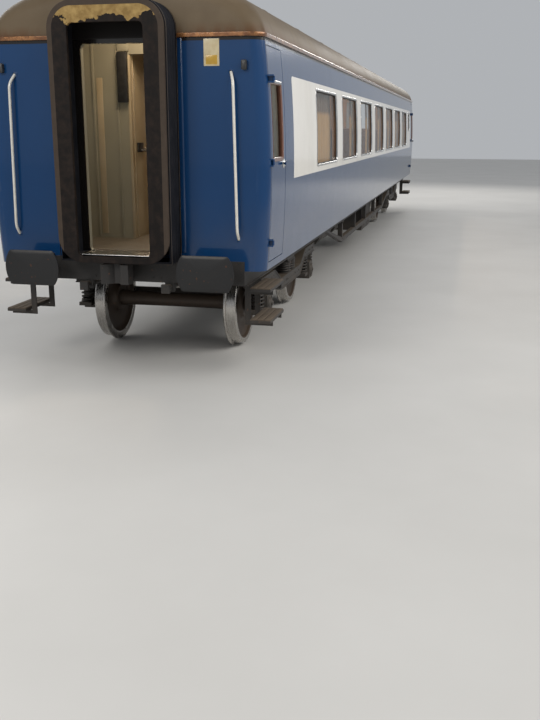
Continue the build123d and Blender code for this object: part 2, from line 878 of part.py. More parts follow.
# radius, place of the foot and of the front, from the headstock out
buffer_stages = (
    (buffer_case_radius, 0, buffer_case_reach),
    (buffer_ram_radius, buffer_case_reach, ram_reach),
)
with BuildPart() as buffers:
    for end_name, end in ends:
        for side in (1, -1):
            with BuildSketch(across(end * half_length, side * buffer_half_spacing, buffer_height, end)):
                Rectangle(buffer_base_size, buffer_base_size)
            extrude(amount=buffer_base_thickness)
            for radius, foot, front in buffer_stages:
                with BuildSketch(
                    across(end * (half_length + foot), side * buffer_half_spacing, buffer_height, end)
                ):
                    Circle(radius)
                extrude(amount=front - foot)
            with BuildSketch(
                across(end * (half_length + ram_reach), side * buffer_half_spacing, buffer_height, end)
            ):
                Circle(buffer_head_radius)
                Rectangle(2 * buffer_head_radius, 2 * buffer_head_half_height, mode=Mode.INTERSECT)
            extrude(amount=buffer_head_thickness)
buffers.part.label = "buffers"
export_step(buffers.part, "parts/buffers.step")

# Knuckle couplers: a shank, a guard arm on one side and the hooked knuckle on the other
# distance out from the headstock, place across: the shank, the guard arm, the jaw and the knuckle
coupler_outline = (
    (0, shank_half_width),
    (shank_length, shank_half_width),
    (shank_length + 30, guard_reach),
    (coupler_reach, guard_reach),
    (coupler_reach - 40, 85),
    (coupler_reach - jaw_depth, 40),
    (coupler_reach - jaw_depth, -20),
    (coupler_reach - 20, -40),
    (coupler_reach - 20, -120),
    (shank_length + 30, -130),
    (shank_length, -shank_half_width),
    (0, -shank_half_width),
)
with BuildPart() as couplers:
    for end_name, end in ends:
        with BuildSketch(Plane.XY.offset(buffer_height - coupler_drop)):
            with BuildLine():
                Polyline(*[(end * (half_length + out), y) for out, y in coupler_outline], close=True)
            make_face()
        extrude(amount=coupler_height)
couplers.part.label = "couplers"
export_step(couplers.part, "parts/couplers.step")

# Bulkheads and compartment partitions
space = body_block(wall + fit, floor_height, gutter_height) + roof_block(wall + fit)
partition_height = roof_height - floor_height
with BuildPart() as bulkheads:
    for end_name, end in ends:
        for place in (vestibule_depth, saloon_start):
            with Locations((end * (half_length - place), 0, floor_height)):
                Box(bulkhead_thickness, through, partition_height, align=centred_low)
        lobby_x = end * (half_length - (vestibule_depth + saloon_start) / 2)
        for side in (1, -1):
            with Locations((lobby_x, side * corridor_half_width, floor_height)):
                Box(
                    saloon_start - vestibule_depth,
                    bulkhead_thickness,
                    partition_height,
                    align=centred_low,
                )
    with Locations((0, 0, floor_height)):
        Box(body_length, 2 * doorway_half_width, doorway_height, align=centred_low, mode=Mode.SUBTRACT)
    add(space, mode=Mode.INTERSECT)
bulkheads.part.label = "bulkheads"
export_step(bulkheads.part, "parts/bulkheads.step")

# Facing seats, a double on the right and a single on the left of the gangway, with tables between
seat_bottom = floor_height + seat_height - cushion_thickness
seat_wall = side_y(floor_height + seat_height, wall) - seat_wall_gap
# side, width
seat_rows = ((1, single_seat_width), (-1, double_seat_width))


def cushion_top(reach):
    """Height of a seat cushion at a distance in front of its rear edge."""
    return seat_bottom + cushion_thickness + cushion_rise * reach / seat_depth


with BuildPart() as seat_cushions:
    for x in window_places:
        for facing in (1, -1):
            back_x = x - facing * (window_pitch / 2 - seat_back_gap)
            for side, width in seat_rows:
                with BuildSketch(Plane.XZ.offset(-side * (seat_wall - width))):
                    with BuildLine():
                        Polyline(
                            (back_x + facing * seat_lean, cushion_top(0)),
                            (back_x + facing * (seat_lean + back_thickness), cushion_top(back_thickness)),
                            (back_x + facing * back_thickness, cushion_top(0) + back_height),
                            (back_x, cushion_top(0) + back_height),
                            close=True,
                        )
                    make_face()
                    with BuildLine():
                        Polyline(
                            (back_x + facing * seat_lean, seat_bottom),
                            (back_x + facing * (seat_lean + seat_depth), seat_bottom),
                            (back_x + facing * (seat_lean + seat_depth), cushion_top(seat_depth) - fit),
                            (back_x + facing * seat_lean, cushion_top(0) - fit),
                            close=True,
                        )
                    make_face()
                extrude(amount=-side * width)
seat_cushions.part.label = "seat_cushions"
export_step(seat_cushions.part, "parts/seat_cushions.step")

with BuildPart() as seat_frames:
    for x in window_places:
        for facing in (1, -1):
            frame_x = x - facing * (window_pitch / 2 - seat_back_gap - seat_lean - seat_depth / 2)
            for side, width in seat_rows:
                with Locations((frame_x, side * (seat_wall - width / 2), floor_height)):
                    Box(
                        seat_depth - 2 * seat_frame_inset,
                        width - 2 * seat_frame_side_inset,
                        seat_bottom - floor_height,
                        align=centred_low,
                    )
seat_frames.part.label = "seat_frames"
export_step(seat_frames.part, "parts/seat_frames.step")

table_top = floor_height + table_height
table_wall = side_y(table_top, wall) - fit
with BuildPart() as tables:
    for x in window_places:
        for side, width in seat_rows:
            reach = width - table_inset
            with BuildSketch(Plane.XY.offset(table_top - table_thickness)) as top:
                with Locations((x, side * (table_wall - reach / 2))):
                    Rectangle(table_depth, reach)
                aisle_corners = top.vertices().sort_by(Axis.Y)
                chamfer(aisle_corners[:2] if side > 0 else aisle_corners[-2:], table_corner)
            extrude(amount=table_thickness)
            with Locations((x, side * (table_wall - width + table_leg_place), floor_height)):
                Box(table_leg, table_leg, table_height - table_thickness, align=centred_low)
tables.part.label = "tables"
export_step(tables.part, "parts/tables.step")

# Luggage racks: brackets on the wall carrying three bars
rack_span = 2 * (half_length - saloon_start) - bulkhead_thickness - rack_bracket_thickness
rack_wall = side_y(rack_height, wall) - fit
rack_high = rack_height + rack_bracket_rise
rack_low = rack_height - rack_bracket_drop
rack_ends = rack_span / 2 - rack_bracket_thickness
with BuildPart() as luggage_racks:
    for side in (1, -1):
        for reach in (rack_back, rack_depth / 2, rack_depth - rack_front):
            with Locations((0, side * (rack_wall - reach), rack_height)):
                Box(rack_span, rack_bar, rack_bar)
        for i in range(window_count + 1):
            pier = (i - window_count / 2) * window_pitch
            x = max(-rack_ends, min(rack_ends, pier))
            with BuildSketch(across(x)):
                with BuildLine():
                    Polyline(
                        (side * (side_y(rack_low, wall) - fit), rack_low),
                        (side * (side_y(rack_high, wall) - fit), rack_high),
                        (side * (rack_wall - rack_depth), rack_high),
                        (side * (rack_wall - rack_depth), rack_height - rack_bar / 2),
                        close=True,
                    )
                make_face()
            extrude(amount=rack_bracket_thickness / 2, both=True)
luggage_racks.part.label = "luggage_racks"
export_step(luggage_racks.part, "parts/luggage_racks.step")

# Ceiling lamps, bevelled below
lobby_lamp = half_length - vestibule_depth / 2
lamp_top = crown_z + sqrt((crown_radius - wall) ** 2 - (lamp_width / 2) ** 2) - fit
with BuildPart() as ceiling_lamps:
    for x in window_places + [-lobby_lamp, lobby_lamp]:
        with Locations((x, 0, lamp_top)):
            Box(lamp_length, lamp_width, lamp_depth, align=centred_high)
    chamfer(ceiling_lamps.edges().group_by(Axis.Z)[0], lamp_bevel)
ceiling_lamps.part.label = "ceiling_lamps"
export_step(ceiling_lamps.part, "parts/ceiling_lamps.step")

# Equipment under the floor, hung from the cross-members
member_bottom = sole_top - member_depth
bay = member_places[1] - member_places[0]


def hangers(x, y, top):
    """A bar along the top of a box, with a leg up to the cross-member at each end."""
    with BuildPart(mode=Mode.PRIVATE) as bars:
        with Locations((x, y, top)):
            Box(bay, 2 * hanger_size, hanger_size, align=centred_high)
        for reach in (-1, 1):
            with Locations((x + reach * (bay - hanger_size) / 2, y, top)):
                Box(hanger_size, 2 * hanger_size, member_bottom - top, align=centred_low)
    return bars.part


# place along the coach, side, length, width, height
boxes = (
    (-1.5 * bay, 1, 1500, 620, 520),
    (0.5 * bay, -1, 1500, 620, 520),
    (0.5 * bay, 1, 1200, 500, 400),
)
with BuildPart() as underframe_boxes:
    for x, side, length, width, height in boxes:
        y = side * (sole_y - truss_size - box_side_gap - width / 2)
        with Locations((x, y, hang_top)):
            Box(length, width, height, align=centred_high)
        add(hangers(x, y, hang_top))
underframe_boxes.part.label = "underframe_boxes"
export_step(underframe_boxes.part, "parts/underframe_boxes.step")

# Vacuum reservoirs, lying along the coach, with a stepped cover at each end
reservoir_z = hang_top - reservoir_radius + reservoir_sink
# radius, length
reservoir_stages = (
    (reservoir_radius, reservoir_length),
    (reservoir_end_radius, reservoir_length + 2 * reservoir_end_thickness),
)
with BuildPart() as reservoirs:
    for x in (-0.5 * bay, -1.5 * bay):
        for radius, length in reservoir_stages:
            with BuildSketch(across(x, -reservoir_y, reservoir_z)):
                Circle(radius)
            extrude(amount=length / 2, both=True)
        add(hangers(x, -reservoir_y, hang_top))
reservoirs.part.label = "brake_reservoirs"
export_step(reservoirs.part, "parts/brake_reservoirs.step")

# Footsteps below the doors, two boards high
step_outer = half_width - step_inset
with BuildPart() as footsteps:
    for end_name, end in ends:
        for side in (1, -1):
            for reach in (-step_strap_half_spacing, step_strap_half_spacing):
                with BuildSketch(across(end * door_middle + reach)):
                    with Locations((side * sole_y, sole_bottom)):
                        Rectangle(
                            step_strap_width,
                            sole_bottom - step_heights[0],
                            align=(Align.MAX if side > 0 else Align.MIN, Align.MAX),
                        )
                    for height in step_heights:
                        with Locations((side * step_outer, height)):
                            Rectangle(
                                step_outer - sole_y + step_strap_width,
                                step_arm,
                                align=(Align.MAX if side > 0 else Align.MIN, Align.MIN),
                            )
                extrude(amount=step_strap / 2, both=True)
            for height in step_heights:
                with Locations(
                    (end * door_middle, side * (step_outer - step_depth / 2), height + step_arm)
                ):
                    Box(step_length, step_depth, step_board, align=centred_low)
footsteps.part.label = "footsteps"
export_step(footsteps.part, "parts/footsteps.step")

# End handrails of round bar, one each side of each gangway
with BuildPart() as end_handrails:
    for end_name, end in ends:
        for side in (1, -1):
            wall_x = end * half_length
            rail_x = end * (half_length + rail_reach)
            with BuildLine() as route:
                Polyline(
                    (wall_x, side * handrail_top_foot[0], handrail_top_foot[1]),
                    (rail_x, side * handrail_top_bend[0], handrail_top_bend[1]),
                    (rail_x, side * handrail_low_bend[0], handrail_low_bend[1]),
                    (wall_x, side * handrail_low_foot[0], handrail_low_foot[1]),
                )
            with BuildSketch(Plane(origin=route.line @ 0, z_dir=route.line % 0)):
                Circle(rail_bar)
            sweep(path=route.line, transition=Transition.RIGHT)
    Box(body_length, through, 3 * roof_height, mode=Mode.SUBTRACT)
end_handrails.part.label = "end_handrails"
export_step(end_handrails.part, "parts/end_handrails.step")

# Electric sockets high on the ends, and pipe ends under the headstocks
with BuildPart() as end_sockets:
    for end_name, end in ends:
        for side in (1, -1):
            with BuildSketch(across(end * half_length, side * socket_y, socket_height, end)) as box:
                Rectangle(socket_width, socket_depth)
                chamfer(box.vertices(), socket_corner)
            extrude(amount=socket_reach)
end_sockets.part.label = "end_sockets"
export_step(end_sockets.part, "parts/end_sockets.step")

headstock_bottom = sole_top - headstock_depth
with BuildPart() as pipe_ends:
    for end_name, end in ends:
        for side in (1, -1):
            back = end * (half_length - pipe_back)
            with BuildSketch(across(back, side * pipe_y, headstock_bottom - pipe_drop, end)):
                Circle(pipe_radius)
            extrude(amount=pipe_back + pipe_reach - pipe_head_length)
            head = end * (half_length + pipe_reach - pipe_head_length)
            with BuildSketch(across(head, side * pipe_y, headstock_bottom - pipe_drop, end)):
                Rectangle(pipe_head_size, pipe_head_size)
            extrude(amount=pipe_head_length)
            with Locations(
                (end * (half_length - headstock_thickness / 2), side * pipe_y, headstock_bottom)
            ):
                Box(pipe_bracket_width, pipe_bracket_size, pipe_bracket_size, align=centred_high)
pipe_ends.part.label = "pipe_ends"
export_step(pipe_ends.part, "parts/pipe_ends.step")
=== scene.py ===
# %% [markdown]
# # A gangwayed passenger coach
# A steel coach on two bogies, with a concertina gangway at each end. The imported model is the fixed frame,
# in metres: X along the coach with end A at -X, Y across it, Z up from the foot of the wheel flanges. The
# cells load it, set the view, write the finishes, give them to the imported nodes, and build the pieces that
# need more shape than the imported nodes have.

import json
import math

import bmesh
import bpy
import numpy as np
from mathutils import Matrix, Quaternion, Vector


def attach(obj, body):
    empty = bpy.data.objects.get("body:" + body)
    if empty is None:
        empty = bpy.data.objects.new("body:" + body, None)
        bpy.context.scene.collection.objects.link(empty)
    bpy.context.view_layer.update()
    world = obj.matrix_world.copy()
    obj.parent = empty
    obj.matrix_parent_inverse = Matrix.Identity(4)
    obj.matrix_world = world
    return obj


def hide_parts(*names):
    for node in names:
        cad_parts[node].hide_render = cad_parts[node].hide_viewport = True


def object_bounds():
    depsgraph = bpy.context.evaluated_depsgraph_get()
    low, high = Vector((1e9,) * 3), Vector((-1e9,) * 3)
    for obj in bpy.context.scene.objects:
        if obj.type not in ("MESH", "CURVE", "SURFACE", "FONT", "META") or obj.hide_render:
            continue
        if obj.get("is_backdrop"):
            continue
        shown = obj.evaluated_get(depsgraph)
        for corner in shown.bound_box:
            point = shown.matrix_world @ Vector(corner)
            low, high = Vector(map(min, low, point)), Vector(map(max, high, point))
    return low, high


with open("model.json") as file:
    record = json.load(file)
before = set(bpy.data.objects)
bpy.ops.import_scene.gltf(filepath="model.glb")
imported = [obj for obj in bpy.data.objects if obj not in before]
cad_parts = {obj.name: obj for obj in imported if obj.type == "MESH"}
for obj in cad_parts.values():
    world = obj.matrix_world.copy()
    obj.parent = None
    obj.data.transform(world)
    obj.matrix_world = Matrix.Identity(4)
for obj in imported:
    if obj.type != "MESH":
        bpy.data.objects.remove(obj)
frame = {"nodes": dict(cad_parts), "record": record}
nodes = frame["nodes"]
cad_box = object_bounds()
print(len(nodes), "nodes, box", [round(v, 3) for corner in cad_box for v in corner])

# %% [markdown]
# ## Sizes
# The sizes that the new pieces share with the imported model. They could be measured from its nodes, but
# named numbers are easier to read. Heights are written from the top of the rail, as on the real coach.

# %% Sizes of the coach
rail = 0.028
half_length, half_width, side_radius = 9.83, 1.412, 11.0
waist_height, floor_height = rail + 1.95, rail + 1.2
gutter_height, gangway_top, roof_height = rail + 3.15, rail + 3.46, rail + 3.772
wall, corner_radius, cantrail_radius = 0.07, 0.12, 0.45
dome_start, dome_radius = 0.25, 0.45
gangway_half, gangway_radius, bellows_foot = 0.56, 0.25, rail + 1.13
window_pitch, window_width, window_high, window_corner = 2.14, 1.61, 0.85, 0.045
window_head = gutter_height - 0.355
toilet_place, toilet_width, toilet_high = 1.75, 0.52, 0.46
door_start, door_opening, hinge_gap, latch_gap = 0.125, 0.6335, 0.008, 0.0135
door_bottom, door_height = rail + 1.13, 1.95
door_window_width, door_window_high, door_window_shift = 0.48, 0.74, 0.014
band_start, band_low, band_high = 1.185, rail + 1.86, rail + 2.875
vestibule_length, corridor_end = 1.05, 2.31
bogie_place, wheel_place, axle_height = 14.173 / 2, 2.591 / 2, rail + 0.457
solebar_low, hang_top, buffer_height = rail + 0.89, rail + 0.88, rail + 1.054
end_names, side_names = {-1: "a", 1: "b"}, {1: "left", -1: "right"}
four_corners = [(end, side) for end in (-1, 1) for side in (1, -1)]
two_sides, two_ends, turned_ends = ((1, 1), (1, -1)), ((-1, 1), (1, 1)), ((-1, -1), (1, 1))
along, across, upright = Vector((1, 0, 0)), Vector((0, 1, 0)), Vector((0, 0, 1))
window_places = [(i - 3) * window_pitch for i in range(7)]
door_middle = half_length - door_start - door_opening / 2


def side_y(height, inset=0.0):
    """Half width of the body at a height, on a line set in from the outer skin."""
    reach = side_radius - inset
    return half_width - side_radius + math.sqrt(reach**2 - (height - waist_height) ** 2)


print("half width at the gutter", round(side_y(gutter_height), 3))

# %% [markdown]
# ## Camera
# The photograph was taken at eye height from the right corner of end A, looking slightly down. Blender
# wants a lens in millimetres, so the focal length, measured in pixels of the photograph, is turned into
# one. A constraint could aim the camera, but a quaternion also carries its small roll.

# %% Camera
focal_pixels, picture_high = 869, 720
yaw, pitch, roll = math.radians(12.76), math.radians(14.84), math.radians(-0.13)
scene = bpy.context.scene
camera_data = bpy.data.cameras.new("photo_camera")
camera_data.lens = focal_pixels / picture_high * camera_data.sensor_width
camera_data.clip_start, camera_data.clip_end = 0.1, 200
camera = bpy.data.objects.new("photo_camera", camera_data)
scene.collection.objects.link(camera)
scene.camera = camera
look = Vector((math.cos(yaw) * math.cos(pitch), math.sin(yaw) * math.cos(pitch), -math.sin(pitch)))
camera.location = (-17.742, -3.219, 2.347 + rail)
camera.rotation_mode = "QUATERNION"
camera.rotation_quaternion = Quaternion(look, roll) @ look.to_track_quat("-Z", "Y")
print("camera", [round(v, 3) for v in camera.location], "lens", round(camera_data.lens, 2))

# %% [markdown]
# ## Light
# Gloss paint shows every lamp, so the lamps are few, large and soft: a long one above each side and one
# ahead of each end, under an even sky. A sun would give hard shadows, which the photograph doesn't have.
# Small warm lamps in the ceilings light the saloon and the vestibules, which would be black behind their
# glass otherwise.

# %% Light
scene.view_settings.view_transform = "Standard"
scene.world = bpy.data.worlds.new("studio")
scene.world.use_nodes = True
sky = scene.world.node_tree.nodes["Background"].inputs
sky["Color"].default_value, sky["Strength"].default_value = (0.86, 0.89, 0.93, 1), 0.5
daylight, warm = (1, 0.97, 0.92), (1, 0.8, 0.58)


def soft_lamp(name, place, aim, size, power, colour=daylight):
    """A rectangular lamp at a place, turned to a point."""
    data = bpy.data.lights.new(name, "AREA")
    data.shape, data.energy, data.color = "RECTANGLE", power, colour
    data.size, data.size_y = size
    lamp = bpy.data.objects.new(name, data)
    lamp.location, lamp.rotation_mode = place, "QUATERNION"
    lamp.rotation_quaternion = (Vector(aim) - Vector(place)).to_track_quat("-Z", "Y")
    scene.collection.objects.link(lamp)
    print(name, power, "W")


soft_lamp("key_right", (-9, -13, 10), (-4, 0, 1.8), (18, 7), 1500)
soft_lamp("key_left", (6, 13, 10), (2, 0, 1.8), (18, 7), 1300)
soft_lamp("end_a", (-19, 3, 7), (-10, -0.3, 2), (5, 3), 420)
soft_lamp("end_b", (20, -3, 8), (10, 0.3, 2), (5, 3), 420)
soft_lamp("saloon_light", (0, 0, 3.62), (0, 0, 1.2), (14, 0.16), 110, warm)
for end in (-1, 1):
    x = end * (half_length - vestibule_length / 2)
    soft_lamp("vestibule_light", (x, 0, 3.6), (x, 0, 1.2), (0.5, 0.15), 9, warm)

# %% [markdown]
# ## Shader arithmetic
# A mask such as "above the waist and behind the door" is easier to read as arithmetic than as a web of
# nodes. `Value` wraps one socket, so that + - * < and > on it add Math nodes. The reflected forms let a
# number stand first, as in 1 - mask.


# %% A socket in arithmetic
class Value:
    """A socket of a shader graph that can be used in arithmetic."""

    def __init__(self, graph, socket):
        self.graph, self.socket = graph, socket

    def math(self, operation, *others):
        return self.graph.add("ShaderNodeMath", {"operation": operation}, (self, *others))

    def __add__(self, other):
        return self.math("ADD", other)

    def __sub__(self, other):
        return self.math("SUBTRACT", other)

    def __mul__(self, other):
        return self.math("MULTIPLY", other)

    __radd__, __rmul__ = __add__, __mul__

    def __neg__(self):
        return self * -1.0

    def __rsub__(self, other):
        return -self + other

    def __gt__(self, other):
        return self.math("GREATER_THAN", other)

    def __lt__(self, other):
        return self.math("LESS_THAN", other)

    def __abs__(self):
        return self.math("ABSOLUTE")

    def max(self, other):
        return self.math("MAXIMUM", other)

    def ramp(self, low, high):
        """0 below low and 1 above high, straight between them."""
        return ((self - low) * (1.0 / (high - low))).max(0.0).math("MINIMUM", 1.0)


# %% [markdown]
# `Graph` is the node tree of one finish. Any node comes from its one method `add`; the others are short
# names for the nodes used most. Every place in it is the frame's own, in metres, because each piece keeps
# its origin at the frame's origin, so no piece needs a UV map.


# %% The node tree of a finish
materials = {}


class Graph:
    """The node tree of one new material."""

    def __init__(self, name):
        self.name, self.material = name, bpy.data.materials.new(name)
        self.material.use_nodes = True
        self.tree = self.material.node_tree
        self.place = self.add("ShaderNodeTexCoord", output="Object")
        self.x, self.y, self.z = self.split(self.place)

    def add(self, kind, settings=None, inputs=(), output=0):
        """A node of one kind; its inputs are numbers, colours or values, by order or by name."""
        node = self.tree.nodes.new(kind)
        for name, setting in (settings or {}).items():
            setattr(node, name, setting)
        for key, item in inputs.items() if isinstance(inputs, dict) else enumerate(inputs):
            self.feed(node.inputs[key], item)
        return Value(self, node.outputs[output])

    def feed(self, socket, item):
        """Links a value to a socket or gives it a number or a colour."""
        if isinstance(item, Value):
            self.tree.links.new(item.socket, socket)
        else:
            is_colour = isinstance(item, tuple) and socket.type == "RGBA"
            socket.default_value = (*item, 1) if is_colour else item

    def split(self, vector):
        outputs = self.add("ShaderNodeSeparateXYZ", inputs=(vector,)).socket.node.outputs
        return [Value(self, socket) for socket in outputs]

    def stretch(self, x=1.0, y=1.0, z=1.0):
        """The place, scaled along each axis, for marks that run one way."""
        return self.add("ShaderNodeMapping", inputs={"Vector": self.place, "Scale": (x, y, z)})

    def noise(self, scale, detail=4.0, vector=None, roughness=0.55):
        sockets = {"Vector": vector or self.place, "Scale": scale, "Detail": detail, "Roughness": roughness}
        return self.add("ShaderNodeTexNoise", inputs=sockets)

    def tufts(self, scale):
        sockets = {"Vector": self.place, "Scale": scale}
        return self.add("ShaderNodeTexVoronoi", inputs=sockets, output="Distance")

    def waves(self, way, scale):
        sockets = {"Vector": self.place, "Scale": scale}
        return self.add("ShaderNodeTexWave", {"bands_direction": way}, sockets, 1)

    def mix(self, low, high, factor):
        """One colour turning into another; each may be a colour or a value."""
        return self.add("ShaderNodeMix", {"data_type": "RGBA"}, {0: factor, 6: low, 7: high}, 2)

    def bump(self, height, distance, strength=1.0):
        sockets = {"Strength": strength, "Distance": distance, "Height": height}
        return self.add("ShaderNodeBump", inputs=sockets, output="Normal")

    def from_arch(self):
        """Distance out from the straight part of the gangway's arch, which is its radius at the edge."""
        y = (abs(self.y) - (gangway_half - gangway_radius)).max(0.0)
        z = (self.z - (gangway_top - gangway_radius)).max(0.0)
        return (y * y + z * z).math("SQRT")

    def finish(self, **sockets):
        """Sets the shader's sockets, with underscores for spaces, and keeps the material under its name."""
        shader = self.tree.nodes["Principled BSDF"]
        for name, item in sockets.items():
            self.feed(shader.inputs[name.replace("_", " ")], item)
        materials[self.name] = self.material
        print(self.name, "has", len(self.tree.nodes), "nodes")


# %% [markdown]
# ## Body paint
# The real body is sprayed in gloss blue and masked for the white window band. The band could be a mesh of
# its own or faces with another material, but it crosses walls and doors at a fixed height. So one material
# does it all: masks worked out from the place say what is outer skin and what is lining, and where the
# band runs, and no seam shows between the pieces.

# %% Body paint
black_shadow = (0.012, 0.01, 0.009)
blue_low, blue_high = (0.004, 0.036, 0.115), (0.006, 0.048, 0.15)
green_low, green_high = (0.34, 0.32, 0.24), (0.44, 0.41, 0.31)
cream_low, cream_high = (0.5, 0.4, 0.25), (0.6, 0.5, 0.34)
ceiling_low, ceiling_high = (0.62, 0.58, 0.48), (0.56, 0.52, 0.42)
graph = Graph("body_blue")
spoke = (0.0, abs(graph.y) + (side_radius - half_width), graph.z - waist_height)
spoke = graph.add("ShaderNodeCombineXYZ", inputs=spoke)
from_axis = graph.add("ShaderNodeVectorMath", {"operation": "LENGTH"}, (spoke,), "Value")
from_side = (from_axis - (side_radius - corner_radius)).max(0.0)
from_end = (abs(graph.x) - (half_length - corner_radius)).max(0.0)
# how far in from the outside the paint reaches on the skin, the band and the edges of the doors
paint_depth, band_depth, edge_depth = 0.015, 0.02, 0.044
skin = corner_radius - paint_depth
outside = ((from_side * from_side + from_end * from_end) > skin * skin).max(graph.z < floor_height - 0.02)
door_edges = abs(abs(graph.x) - door_middle) < door_opening / 2 + 0.02
outside = outside.max((from_axis > side_radius - edge_depth) * door_edges)
from_band = abs(graph.x) - (half_length - band_start)
band_corner = 0.05
dx, dz = (from_band + band_corner).max(0.0), (graph.z - (band_high - band_corner)).max(0.0)
rounded = (dx * dx + dz * dz) < band_corner * band_corner
band = (graph.z > band_low) * (graph.z < band_high) * (from_band < 0.0) * rounded
band = band * (from_axis > side_radius - band_depth)
dirt = graph.noise(1.6, 6.0).ramp(0.45, 0.75) * (waist_height - 0.3 - graph.z).ramp(-0.1, 0.55)
paint = graph.mix(graph.mix(blue_low, blue_high, graph.noise(0.8, 3.0)), (0.06, 0.055, 0.05), dirt * 0.35)
fading = graph.noise(2.2, 4.0, graph.stretch(z=0.25)).ramp(0.4, 0.8)
paint = graph.mix(paint, graph.mix((0.9, 0.87, 0.81), (0.83, 0.79, 0.71), fading), band)
# near black paint: a painted shadow line under the gutter, and painted shade on the end wall inside the
# gangway's arch
shadow = (graph.z > gutter_height - 0.03) * outside
gangway_shade = (graph.from_arch() < gangway_radius + 0.001) * (abs(graph.x) > half_length - wall - 0.001)
gangway_shade = gangway_shade * (graph.z > floor_height)
paint = graph.mix(paint, black_shadow, shadow.max(gangway_shade))
figure = graph.noise(3.0, 8.0, graph.stretch(x=0.6, y=0.6, z=9.0))
lining = graph.mix((0.36, 0.2, 0.09), (0.5, 0.31, 0.15), figure)
lining = graph.mix(lining, ceiling_low, graph.z > window_head + 0.02)
lining = graph.mix(lining, (0.36, 0.34, 0.26), abs(graph.x) > half_length - vestibule_length)
ripples = graph.noise(1.1, 2.0, graph.stretch(z=0.35)) + graph.noise(260.0, 2.0) * 0.006
graph.finish(
    Base_Color=graph.mix(lining, paint, outside),
    Roughness=graph.noise(5.0, 4.0) * 0.1 + 0.16,
    Specular_IOR_Level=0.25,
    Coat_Weight=outside * 0.5,
    Coat_Roughness=0.05,
    Normal=graph.bump(ripples, 0.012, 0.5),
)

# %% [markdown]
# ## Roof paint and gutter
# The roof is dull grey paint that has gone brown: streaks run down with the rain, dirt gathers above the
# gutter. Painted maps could hold that, but noise stretched along one axis gives streaks at any size. The
# gutter strip is worn and varnished; its coppery colour is painted reflection of warm light.

# %% Roof paint
graph = Graph("roof_grey")
streaks, clouds = graph.noise(7.0, 5.0, graph.stretch(x=1.6, y=0.25, z=0.22)), graph.noise(0.9, 5.0)
paint = graph.mix((0.115, 0.082, 0.048), (0.165, 0.125, 0.08), clouds.ramp(0.3, 0.7))
paint = graph.mix(paint, (0.08, 0.055, 0.034), streaks.ramp(0.52, 0.78) * 0.5)
low = (gutter_height + 0.13 - graph.z).ramp(0.0, 0.1)
splashes = graph.noise(9.0, 5.0, graph.stretch(z=0.4)).ramp(0.3, 0.55)
paint = graph.mix(paint, (0.11, 0.05, 0.02), low * splashes * 0.9)
top = (graph.z - (roof_height - 0.12)).ramp(0.0, 0.1)
paint = graph.mix(paint, (0.085, 0.075, 0.065), top * graph.noise(3.0, 5.0).ramp(0.35, 0.7) * 0.6)
# the roof inside the gangway's arch is painted near black: painted shade
gangway_shade = (graph.from_arch() < gangway_radius - 0.001) * (abs(graph.x) > half_length - 0.12)
paint = graph.mix(paint, black_shadow, gangway_shade)
seam = abs((graph.x * (1 / window_pitch)).math("FRACT") - 0.5) < 0.004
dents = graph.noise(1.3, 3.0) * 0.7 + graph.noise(60.0, 3.0) * 0.03
graph.finish(
    Base_Color=paint,
    Roughness=clouds * 0.2 + 0.42,
    Specular_IOR_Level=0.2,
    Normal=graph.bump(seam * 0.4 + dents, 0.008, 0.55),
)

# %% Gutter strip
graph = Graph("gutter_gold")
# the coppery colour is painted reflection of warm light; its patches are real wear
wear = graph.noise(14.0, 5.0, graph.stretch(x=0.4))
graph.finish(
    Base_Color=graph.mix((0.15, 0.055, 0.017), (0.34, 0.15, 0.05), wear.ramp(0.35, 0.65)),
    Roughness=wear * 0.2 + 0.16,
    Metallic=0.55,
    Coat_Weight=0.8,
    Coat_Roughness=0.08,
    Normal=graph.bump(graph.noise(30.0, 3.0), 0.001, 0.4),
)

# %% [markdown]
# ## Running gear
# Brake dust settles on whatever faces up and lies low, so the dust follows the surface's own normal and
# its height. One function makes all the black and iron finishes, with other colours and amounts.

# %% Painted iron under dust


def grimy(name, dark, dust, rough=0.55, metallic=0.0, amount=0.6, grain=40.0):
    """Dark iron or wood that brake dust has settled on, with a few rusty chips."""
    graph = Graph(name)
    upward = graph.split(graph.add("ShaderNodeNewGeometry", output="Normal"))[2].ramp(0.1, 0.9)
    patches, low = graph.noise(3.5, 6.0), (1.2 - graph.z).ramp(0.0, 1.1)
    settled = (upward * 0.6 + low * 0.35 + patches * 0.5).ramp(0.35, 1.15) * amount
    chips = graph.noise(28.0, 5.0).ramp(0.66, 0.7)
    graph.finish(
        Base_Color=graph.mix(graph.mix(dark, dust, settled), (0.16, 0.065, 0.03), chips * 0.5),
        Roughness=settled * 0.3 + rough,
        Metallic=metallic,
        Normal=graph.bump(graph.noise(grain, 5.0) + graph.noise(grain * 6, 2.0) * 0.2, 0.0016, 0.5),
    )


grimy("underframe_black", (0.018, 0.016, 0.015), (0.15, 0.115, 0.08), amount=0.75)
grimy("spring_steel", (0.03, 0.03, 0.031), (0.12, 0.095, 0.07), 0.4, 0.6)
grimy("axlebox_iron", (0.05, 0.045, 0.04), (0.14, 0.11, 0.08), 0.6, 0.2)
grimy("wheel_steel", (0.06, 0.045, 0.035), (0.13, 0.09, 0.06), 0.5, 0.4)
grimy("step_timber", (0.07, 0.05, 0.035), (0.15, 0.115, 0.08), 0.7, 0.0, 0.8, 25.0)

# %% Wheel tread, polished by the rail
graph = Graph("tread_steel")
rings = graph.noise(90.0, 2.0, graph.stretch(x=0.1, z=0.1))
graph.finish(
    Base_Color=graph.mix((0.38, 0.36, 0.34), (0.55, 0.53, 0.5), rings),
    Roughness=rings * 0.2 + 0.16,
    Metallic=1.0,
    Normal=graph.bump(rings, 0.0005, 0.4),
)

# %% [markdown]
# ## Gangway finishes
# The bellows are proofed canvas: two crossed waves a few millimetres apart make its weave. The faceplate
# is black inside a grey rim. The covering of its head is torn, and a mask by height would end it in a
# straight line, so noise is added to the height and pulls the line into rags.

